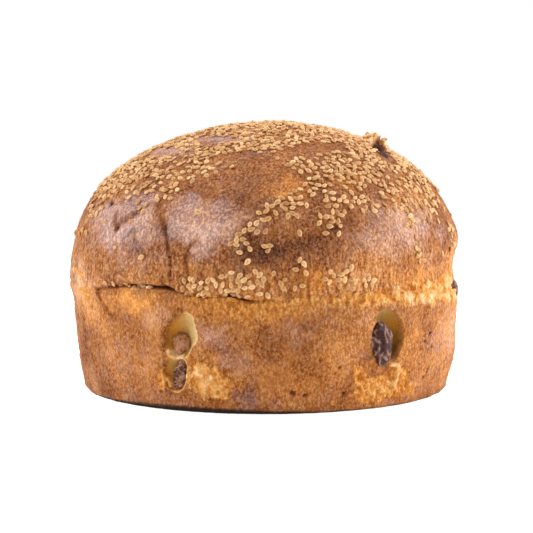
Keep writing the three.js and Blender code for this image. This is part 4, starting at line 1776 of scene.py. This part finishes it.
    def open_pockets(self, points: Array, layers: Masks, noise: Grain) -> None:
        """Press the open pockets into the crust, in place.

        Args:
            points: Points of the crust, changed in place.
            layers: The crust's masks, changed in place.
            noise: Noise that makes the rims uneven.
        """
        torn, pale = layers[CrustLayer.TORN], layers[CrustLayer.PALE]
        for pocket, look in zip(LOAF.pockets, self.pocket_looks):
            place = LOAF.place(pocket.angle, pocket.height, pocket.lean)
            local = place.local(points)
            across = look.gentle_side * local[:, 0] / pocket.half_width
            gentle = self.gentle_part.at(across)
            uneven = 1 + self.rim_sway.over(points, noise)
            reach = LOAF.within(points, pocket) * uneven / (1 + self.gentle_reach * gentle)
            curve = self.steep_curve + self.gentle_curve * gentle * (1 - look.slope_start)
            bowl = np.clip(1 - reach**2, 0, None) ** curve
            floor = -pocket.amount * bowl
            inside = (reach < 1) & (floor < local[:, 2])
            local[inside, 2] = floor[inside]
            points[inside] = place.world(local[inside])
            wall = gentle * ease(reach, look.slope_start, 1.0) * (1 - self.wall_fade.at(reach))
            rim = bump((np.minimum(reach, 2) - 1) / self.rim_width) * (1 - gentle)
            rim *= look.rim > self.rim_least
            edge = self.steep_edge + gentle * (look.slope_start - self.steep_edge)
            opened = 1 - ease(reach, edge, 1.0 + self.edge_blur * gentle)
            layers[CrustLayer.HOLLOW] = np.maximum(layers[CrustLayer.HOLLOW], opened * (1 - look.dark))
            # Darker towards the bowl's middle by the pocket's darkness (painted shade in the top hole,
            # browner crust in the back pockets), and painted shade on the gentle wall, lighter where negative
            layers[CrustLayer.BAKE] += self.deep_darkening * look.dark * bowl + look.wall_shade * wall
            for layer in (CrustLayer.DOME, CrustLayer.SHEEN_AND_TINT):
                layers[layer] *= np.where(reach < 1, self.pocket_gloss, 1.0)
            torn_edge = np.maximum(rim, self.wall_torn * look.slope_start * wall)
            torn[:] = np.maximum(torn * self.torn_outside.at(reach), torn_edge)
            # Painted shade on the pocket's floor: paler towards its top, darker towards its gentle side
            slant = local[:, 1] / pocket.half_height - np.clip(across, -1, 1)
            shade = np.clip(look.floor + self.floor_shading * slant, 0, 1)
            pale[:] = np.where(reach < 1, shade, np.maximum(pale, look.rim * rim))

    def raise_lips(self, points: Array, away: Array, spots: CrustSpots, layers: Masks) -> None:
        """Raise pale lips of crumb beside and between the pockets, in place.

        Args:
            points: Points of the crust, changed in place.
            away: Way out of the crust at each point.
            spots: The same points on the smooth crust.
            layers: The crust's masks, changed in place.
        """
        torn, pale, hollow = (layers[key] for key in (CrustLayer.TORN, CrustLayer.PALE, CrustLayer.HOLLOW))
        for lip in self.lips:
            near = np.exp(-((lip.across(spots.angle, spots.level) / lip.half_width) ** 2))
            points += away * ((self.lip_rise * hollow - lip.depth) * near)[:, None]
            torn[:] = np.maximum(torn, near)
            pale[:] = np.maximum(pale, self.lip_paleness * lip.shade * near)
            hollow *= 1 - near

    def raise_crag(self, points: Array, layers: Masks, noise: Grain) -> None:
        """Raise the torn flap near the top and hollow the cave under it, with painted shade in the cave, in
        place.

        Args:
            points: Points of the crust, changed in place.
            layers: The crust's masks, changed in place.
            noise: Noise that makes the flap ragged.
        """
        place = LOAF.place(LOAF.crag.angle, LOAF.crag.height, LOAF.crag.lean)
        local = place.local(points)
        rough, lumps = self.flap_rough.over(points, noise), self.flap_lumps.over(points, noise)
        reach = LOAF.within(points, LOAF.crag) * (1 + self.flap_ragged * rough)
        across, along = local[:, 0] / LOAF.crag.half_width, local[:, 1] / LOAF.crag.half_height
        (cave_across, cave_width), (cave_along, cave_length) = self.cave_across, self.cave_along
        from_cave = np.hypot((across - cave_across) / cave_width, (along - cave_along) / cave_length)
        cave = (1 - self.cave_edge.at(from_cave)) * (reach < self.cave_limit)
        curve = self.flap_curve + self.flap_steepness * self.flap_steep.at(-across)
        crest = LOAF.crag.amount * np.clip(1 - reach**2, 0, None) ** curve
        crest *= self.flap_body + self.rough_share * rough + self.lump_share * lumps
        crest -= self.cave_depth * cave
        raised = (reach < 1) & (crest > local[:, 2])
        local[raised, 2] = crest[raised]
        points[raised] = place.world(local[raised])
        near = 1 - self.flap_edge.at(reach)
        changed = np.maximum(near, cave)
        flap_tone = self.flap_pale + self.rough_share * rough + self.lump_tone * lumps
        layers[CrustLayer.TORN] = np.maximum(layers[CrustLayer.TORN], self.flap_torn * near) * (1 - cave)
        # Painted shade in the cave: darker, near black and tinted red-brown
        layers[CrustLayer.BAKE] += self.cave_painted_shade * cave
        layers[CrustLayer.SCORCH_AND_SHADE] = np.maximum(layers[CrustLayer.SCORCH_AND_SHADE], self.cave_painted_deep_shade * cave)
        layers[CrustLayer.SHEEN_AND_TINT] = layers[CrustLayer.SHEEN_AND_TINT] * (1 - changed) - cave
        layers[CrustLayer.PALE] = np.where(near > 0, flap_tone, layers[CrustLayer.PALE])
        layers[CrustLayer.DOME] *= 1 - changed

    def dress(self, pieces: list[Piece], material: Material) -> None:
        """Give the crust its material and hide the loaf's own part.

        Args:
            pieces: Objects of the side and the dome.
            material: The crust's material.
        """
        for piece in pieces:
            piece.data.materials.append(material)
            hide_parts("loaf")


@dataclass
class SesameSeeds:
    """Sesame seeds scattered over the dome, as one joined mesh."""

    length: float = 3.1
    width: float = 2.05
    thickness: float = 1.05
    taper: float = 0.45
    sides: int = 12
    tries: int = 14000
    most: int = 2600
    spacing: float = 1.85
    lowest: float = 47.5
    even_below: float = 58.0
    bare_below: float = 84.0
    full_above: float = 101.0
    clearance: float = 0.8
    stray: float = 0.003
    most_cover: float = 1.6
    clump_seed: int = 29
    clump_cover: float = 0.66
    clump_least: float = 0.08
    clumps: Grit = Grit(1.15, 10.0)
    draw_seed: int = 42
    tilt: float = 0.2
    growth: Pair = (0.84, 1.12)
    lift: Pair = (0.1, 0.5)
    toast: float = 0.32
    toast_spread: float = 0.16
    toast_most: float = 0.9
    rings: tuple[Pair, ...] = ((0.62, -0.5), (1.0, -0.05), (0.7, 0.42))
    underside: Triple = (0.0, 0.0, -0.5)
    dish: Triple = (0.05, 0.0, 0.34)
    dish_shade: float = 1.0
    shoulder_shade: float = 0.1
    underside_shade: float = 0.8
    patches: Patches = records(
        Patch,
        (-6, 95, 34, 17, -1.8, 12),
        (-64, 87, 18, 14, 0.7),
        (-48, 93, 15, 9, 0.5),
        (-33, 90, 10, 7, 0.8),
        (-67, 72, 6, 7, 0.6),
        (-34, 102, 9, 4.5, 1.4, -8),
        (-12, 103.2, 22, 7, -1.7, 6),
        (-10, 108, 16, 3, 1.1, -6),
        (10, 107.3, 10, 2, 1.6),
        (-57, 105, 19, 6, -2.0),
        (-34, 110.5, 20, 6, -1.8),
        (-54, 82.5, 9, 7, -1.3),
        (-41, 83, 5, 5, 0.8),
        (20, 104.8, 21, 8, -2.2, 10),
        (37, 106.6, 12, 4.5, -1.3, 8),
        (55, 86, 30, 15, 1.3),
        (33, 98, 15, 8, 1.0),
        (27, 84, 13, 7, 1.0),
        (2, 82, 26, 5.5, 1.1, 38),
        (9, 83, 8, 6, 0.7),
        (19, 80, 10, 6, 0.8),
        (-17, 51.5, 12, 5.5, 2.6),
        (-8, 53, 9, 6, 1.8),
        (-42, 50.6, 17, 1.2, 0.9),
        (-3, 56, 5, 4, 0.7),
        (5, 53, 6, 3.5, 1.0),
        (-1, 49, 10, 2.5, 0.8),
        (21, 55.5, 9, 6, 1.4),
        (30, 54, 6, 3.5, 0.9),
        (-6.5, 66, 9, 7, 0.13),
        (1.7, 69.5, 3.5, 5, 0.16),
        (10, 61, 5, 6, 0.2),
        (22, 73.5, 11, 3, 0.08),
        (48, 66, 4, 8, 0.9, 12),
        (77, 105.8, 5.5, 7, -4.0),
        (59.5, 101, 7.5, 6.5, -4.0),
        (84, 107, 6, 6, -0.5),
        (72, 70, 6, 8, 0.7),
        (118, 83, 24, 13, 0.8, -15),
        (176, 74, 26, 9, 0.7, 25),
        (205, 53, 16, 6, 0.8),
        (256, 84, 22, 13, 0.8),
    )

    def cover(self, points: Array) -> Array:
        """How thickly the crust is seeded.

        Args:
            points: Points of the crust.

        Returns:
            One value for each point, 0 for bare and 1 for full.
        """
        clumps = self.clump_cover + self.clumps.over(points, Grain(self.clump_seed))
        clumps = np.clip(clumps, self.clump_least, 1.0)
        clumps = np.maximum(clumps, 1 - ease(points[:, 2], self.even_below, self.bare_below))
        cover = ease(points[:, 2], self.bare_below, self.full_above) + LOAF.patch_sum(points, self.patches)
        cover = (np.clip(cover, 0, self.most_cover) * clumps + self.stray) * (points[:, 2] > self.lowest)
        for pocket in LOAF.pockets:
            cover *= LOAF.within(points, pocket) > 1 + self.clearance / pocket.half_width
        return cover

    def scatter(self, crust: Piece, draw: np.random.Generator) -> tuple[Array, Array]:
        """Choose places on the crust, no two closer than the spacing.

        Args:
            crust: Object of the dome's crust.
            draw: Seeded random draws.

        Returns:
            The places and the ways out of the crust there.
        """
        mesh = crust.data
        mesh.calc_loop_triangles()
        corners = np.empty(3 * len(mesh.loop_triangles), dtype=np.int32)
        mesh.loop_triangles.foreach_get("vertices", corners)
        flat = np.empty(3 * len(mesh.vertices), dtype=np.float32)
        mesh.vertices.foreach_get("co", flat)
        spots = flat.reshape(-1, 3).astype(float) / MM
        first, second, third = spots[corners.reshape(-1, 3)].transpose(1, 0, 2)
        cross = np.cross(second - first, third - first)
        area = np.linalg.norm(cross, axis=1) / 2
        chance = area * self.cover((first + second + third) / 3)
        picked = draw.choice(len(area), size=self.tries, p=chance / chance.sum())
        along, across = draw.random((2, self.tries, 1))
        turned = along + across > 1
        along, across = np.where(turned, 1 - along, along), np.where(turned, 1 - across, across)
        places = first[picked] + along * (second - first)[picked] + across * (third - first)[picked]
        kept: list[int] = []
        taken: dict[tuple[int, ...], list[int]] = {}
        for number, place in enumerate(places):
            cell = np.floor(place / self.spacing).astype(int)
            around = [tuple(cell + step) for step in itertools.product((-1, 0, 1), repeat=3)]
            rivals = [other for key in around for other in taken.get(key, [])]
            if rivals and np.min(np.linalg.norm(places[rivals] - place, axis=1)) < self.spacing:
                continue
            taken.setdefault(tuple(cell), []).append(number)
            kept.append(number)
            if len(kept) == self.most:
                break
        ways = self.smooth_ways(places[kept], cross[picked[kept]])
        return places[kept], ways

    @staticmethod
    def smooth_ways(places: Array, cross: Array) -> Array:
        """Find ways out of the crust that even out its fine relief.

        Args:
            places: Places on the crust.
            cross: Way out of the face at each place, of any length.

        Returns:
            Ways between the face's own and that of the smooth loaf.
        """
        own = cross / np.linalg.norm(cross, axis=1, keepdims=True)
        broad = places - np.array([0.0, 0.0, LOAF.widest_height])
        broad[:, 2] = np.clip(broad[:, 2], 0, None) * (LOAF.dome_radius / LOAF.dome_rise) ** 2
        ways = own + broad / np.linalg.norm(broad, axis=1, keepdims=True)
        return ways / np.linalg.norm(ways, axis=1, keepdims=True)

    def one_seed(self) -> tuple[Array, list[list[int]], Array]:
        """Make one seed: a flat drop, dished on top.

        Returns:
            Its points, its faces, and how much painted shade each point takes.
        """
        turn = np.linspace(0, 2 * math.pi, self.sides, endpoint=False)
        x, y = np.cos(turn), np.sin(turn)
        y = y * (1 - self.taper * np.clip(x, 0, None))
        points = [self.underside]
        for reach, level in self.rings:
            points += list(zip(reach * x, reach * y, np.full(self.sides, level)))
        points.append(self.dish)
        scaled = np.array(points) * [self.length / 2, self.width / 2, self.thickness]
        faces = []
        last = len(points) - 1
        for side in range(self.sides):
            after = (side + 1) % self.sides
            faces.append([0, 1 + after, 1 + side])
            for ring in range(len(self.rings) - 1):
                low, high = 1 + ring * self.sides, 1 + (ring + 1) * self.sides
                faces.append([low + side, low + after, high + after, high + side])
            top = 1 + (len(self.rings) - 1) * self.sides
            faces.append([top + side, top + after, last])
        # Painted shade: darkest in the dish, some on the shoulder, much underneath
        painted_shade = np.zeros(len(points))
        painted_shade[last] = self.dish_shade
        painted_shade[1 + 2 * self.sides:last] = self.shoulder_shade
        painted_shade[: 1 + self.sides] = self.underside_shade
        return scaled, faces, painted_shade

    def build(self, crust: Piece) -> Piece:
        """Build all the seeds.

        Args:
            crust: Object of the dome's crust, which they lie on.

        Returns:
            The seeds' object, without a material.
        """
        draw = np.random.default_rng(self.draw_seed)
        places, ways = self.scatter(crust, draw)
        count = len(places)
        shape, faces, painted_shade = self.one_seed()
        tilted = ways + draw.normal(scale=self.tilt, size=(count, 3))
        out = tilted / np.linalg.norm(tilted, axis=1, keepdims=True)
        east = np.cross(draw.normal(size=(count, 3)), out)
        east /= np.linalg.norm(east, axis=1, keepdims=True)
        north = np.cross(out, east)
        grow = draw.uniform(*self.growth, size=(count, 1, 1))
        axes = np.stack([east, north, out], axis=1) * grow
        lift = draw.uniform(*self.lift, size=(count, 1)) * ways
        points = np.einsum("pk,skj->spj", shape, axes) + (places + lift)[:, None, :]
        joined = [[corner + seed * len(shape) for corner in face] for seed in range(count) for face in faces]
        toast = np.clip(draw.normal(self.toast, self.toast_spread, size=count), 0, self.toast_most)
        layers = {
            SeedLayer.TOAST.value: np.repeat(toast, len(shape)),
            SeedLayer.HEART.value: np.tile(painted_shade, count),
        }
        LOG.info("%d seeds lie on the dome", count)
        return make_mesh("sesame_seeds", points.reshape(-1, 3), joined, layers)

    def dress(self, seeds: Piece, material: Material) -> None:
        """Give the seeds their material."""
        seeds.data.materials.append(material)


@dataclass
class Raisins:
    """Raisins in the pockets of the crust, each a wrinkled piece."""

    wrinkle: float = 0.1
    wrinkles_round: float = 2.5
    wrinkle_slant: float = 1.4
    flatness: float = 0.82
    fineness: int = 5
    crests: Grits = (
        Grit(1.0, (3.4, 6.0, 3.4), crested=True),
        Grit(0.5, (1.7, 2.6, 1.7), crested=True),
    )
    crest_height: float = 0.75
    crest_middle: float = 0.6
    ridge: Rise = Rise(0.75, 1.4)
    places: tuple[RaisinPlace, ...] = (
        RaisinPlace("raisin_right", 34.2, 27.3, 0.9, 18.8, 10.9, 8),
        RaisinPlace("raisin_left_upper", -25.3, 27.4, 4.2, 9.2, 7.4, -14, 0.62),
        RaisinPlace("raisin_left_lower", -25.4, 14.4, 3, 14.4, 6.8, -14, 0.4),
        RaisinPlace("raisin_edge", 75.5, 45.2, 1.7, 8.4, 6.2, 12, 0.25),
        RaisinPlace("raisin_top", 61.4, 102.3, 0.7, 7.8, 6.4, -45),
        RaisinPlace("raisin_back_right", 130, 24.5, 3.2, 13, 8, 14, 0.1),
        RaisinPlace("raisin_back", 187, 30.5, 3.4, 12, 8.4, -30, 0.3),
        RaisinPlace("raisin_back_left", 249, 20, 3.2, 12.6, 7.4, 4),
    )

    def build(self, place: RaisinPlace) -> Piece:
        """Build one raisin.

        Args:
            place: Where the raisin lies and how large it is.

        Returns:
            The raisin's object, without a material.
        """
        ball = bmesh.new()
        bmesh.ops.create_icosphere(ball, subdivisions=self.fineness, radius=1.0)
        unit = np.array([vertex.co[:] for vertex in ball.verts])
        faces = [[vertex.index for vertex in face.verts] for face in ball.faces]
        ball.free()
        around = np.arctan2(unit[:, 0], unit[:, 2])
        slant = self.wrinkle_slant * unit[:, 1]
        waves = np.abs(np.sin(self.wrinkles_round * around + slant + place.angle))
        drawn_in = 1 - self.wrinkle * waves * np.hypot(unit[:, 0], unit[:, 2])
        half = np.array([place.width, place.length, self.flatness * place.width]) / 2
        noise = Grain(int(abs(place.angle)) + 3)
        shape = unit * drawn_in[:, None] * half
        crests = grit_sum(shape, self.crests, noise)
        shape += unit * (self.crest_height * (crests - self.crest_middle))[:, None]
        spot = LOAF.place(place.angle, place.height, place.lean)
        points = spot.world(shape - np.array([0.0, 0.0, place.sink]))
        layers = {
            RaisinLayer.DUST.value: np.full(len(points), place.dust),
            RaisinLayer.RIDGE.value: self.ridge.at(crests),
        }
        return make_mesh(place.name + "_skin", points, faces, layers)

    def dress(self, raisin: Piece, place: RaisinPlace, material: Material) -> None:
        """Give a raisin its material and hide the raisin's own part.

        Args:
            raisin: The raisin's object.
            place: Its place, which has the name of its node.
            material: The raisins' material.
        """
        raisin.data.materials.append(material)
        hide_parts(place.name)


@dataclass(frozen=True)
class SoftBox:
    """A large soft light that looks at the loaf."""

    name: str
    spot: Triple
    width: float
    height: float
    power: float


@dataclass
class Studio:
    """Floor, light and camera."""

    eye: Triple = (0.00044, -0.815, 0.129)
    look_down: float = 5.35
    lens: float = 124.8
    sensor: float = 36.0
    aim: Triple = (0.0, 0.0, 0.06)
    floor_radius: float = 1.0
    floor_sides: int = 96
    fill: float = 0.42
    boxes: tuple[SoftBox, ...] = (
        SoftBox("left_box", (-0.95, -0.08, 0.62), 0.75, 0.65, 8.6),
        SoftBox("right_box", (0.98, -0.02, 0.46), 0.75, 0.65, 11.0),
        SoftBox("top_box", (0.0, 0.15, 1.1), 0.9, 0.9, 7.5),
    )

    def build_floor(self) -> None:
        """Lay the floor: a flat disc that isn't part of the loaf."""
        disc = bmesh.new()
        bmesh.ops.create_circle(disc, cap_ends=True, segments=self.floor_sides, radius=self.floor_radius)
        mesh = bpy.data.meshes.new("floor")
        disc.to_mesh(mesh)
        disc.free()
        floor = bpy.data.objects.new("floor", mesh)
        mesh.materials.append(FloorFinish().material())
        bpy.context.scene.collection.objects.link(floor)

    def build_lights(self) -> None:
        """Set up the soft boxes and the white surroundings."""
        for box in self.boxes:
            light = bpy.data.lights.new(box.name, "AREA")
            light.shape = "RECTANGLE"
            light.size = box.width
            light.size_y = box.height
            light.energy = box.power
            lamp = bpy.data.objects.new(box.name, light)
            lamp.matrix_world = self.facing(box.spot, self.aim)
            bpy.context.scene.collection.objects.link(lamp)
        world = bpy.data.worlds.new("white_room")
        world.use_nodes = True
        board = NodeBoard(world.node_tree)
        world.node_tree.nodes.clear()
        seen = board.add("ShaderNodeLightPath").outputs["Is Camera Ray"]
        white = (1.0, 1.0, 1.0, 1.0)
        fill = board.add("ShaderNodeBackground", {"Color": white, "Strength": self.fill}).outputs[0]
        backdrop = board.add("ShaderNodeBackground", {"Color": white, "Strength": 1.0}).outputs[0]
        mixed = board.add("ShaderNodeMixShader", {0: seen, 1: fill, 2: backdrop}).outputs[0]
        board.add("ShaderNodeOutputWorld", {"Surface": mixed})
        bpy.context.scene.world = world

    def build_camera(self) -> None:
        """Set up the camera at the photograph's height, tilt and distance."""
        camera = bpy.data.cameras.new("camera")
        camera.lens = self.lens
        camera.sensor_width = self.sensor
        holder = bpy.data.objects.new("camera", camera)
        holder.location = self.eye
        holder.rotation_euler = (math.radians(90 - self.look_down), 0.0, 0.0)
        bpy.context.scene.collection.objects.link(holder)
        bpy.context.scene.camera = holder
        bpy.context.scene.view_settings.view_transform = "Standard"

    @staticmethod
    def facing(spot: Sequence[float], aim: Sequence[float]) -> Matrix:
        """Place at a spot whose -Z looks at the aim.

        Args:
            spot: Where the place is.
            aim: Where it looks.

        Returns:
            The place as a matrix.
        """
        back = np.array(spot) - np.array(aim)
        back /= np.linalg.norm(back)
        helper = np.array([0.0, 1.0, 0.0]) if abs(back[2]) > 0.9 else np.array([0.0, 0.0, 1.0])
        right = np.cross(helper, back)
        right /= np.linalg.norm(right)
        place = np.eye(4)
        place[:3, :3] = np.column_stack([right, np.cross(back, right), back])
        place[:3, 3] = spot
        return Matrix(place.tolist())


def report(piece: Piece) -> None:
    """Log a finished piece and its number of faces."""
    LOG.info("%s has %d faces", piece.name, len(piece.data.polygons))


def main() -> None:
    """Build and dress the loaf, then set up the studio."""
    logging.basicConfig(level=logging.INFO, format="%(name)s: %(message)s")
    mottle, flecks = NodeGroups.mottle(), NodeGroups.flecks()
    studio = Studio()
    studio.build_camera()

    crust = Crust()
    side, dome = crust.build()
    crust.dress([side, dome], CrustFinish().material(mottle, flecks))
    report(side)
    report(dome)

    sesame = SesameSeeds()
    seeds = sesame.build(dome)
    sesame.dress(seeds, SeedFinish().material(mottle))
    report(seeds)

    raisins = Raisins()
    raisin_skin = RaisinFinish().material(mottle, flecks)
    for place in raisins.places:
        raisin = raisins.build(place)
        raisins.dress(raisin, place, raisin_skin)
        report(raisin)

    studio.build_floor()
    studio.build_lights()


if __name__ == "__main__":
    main()
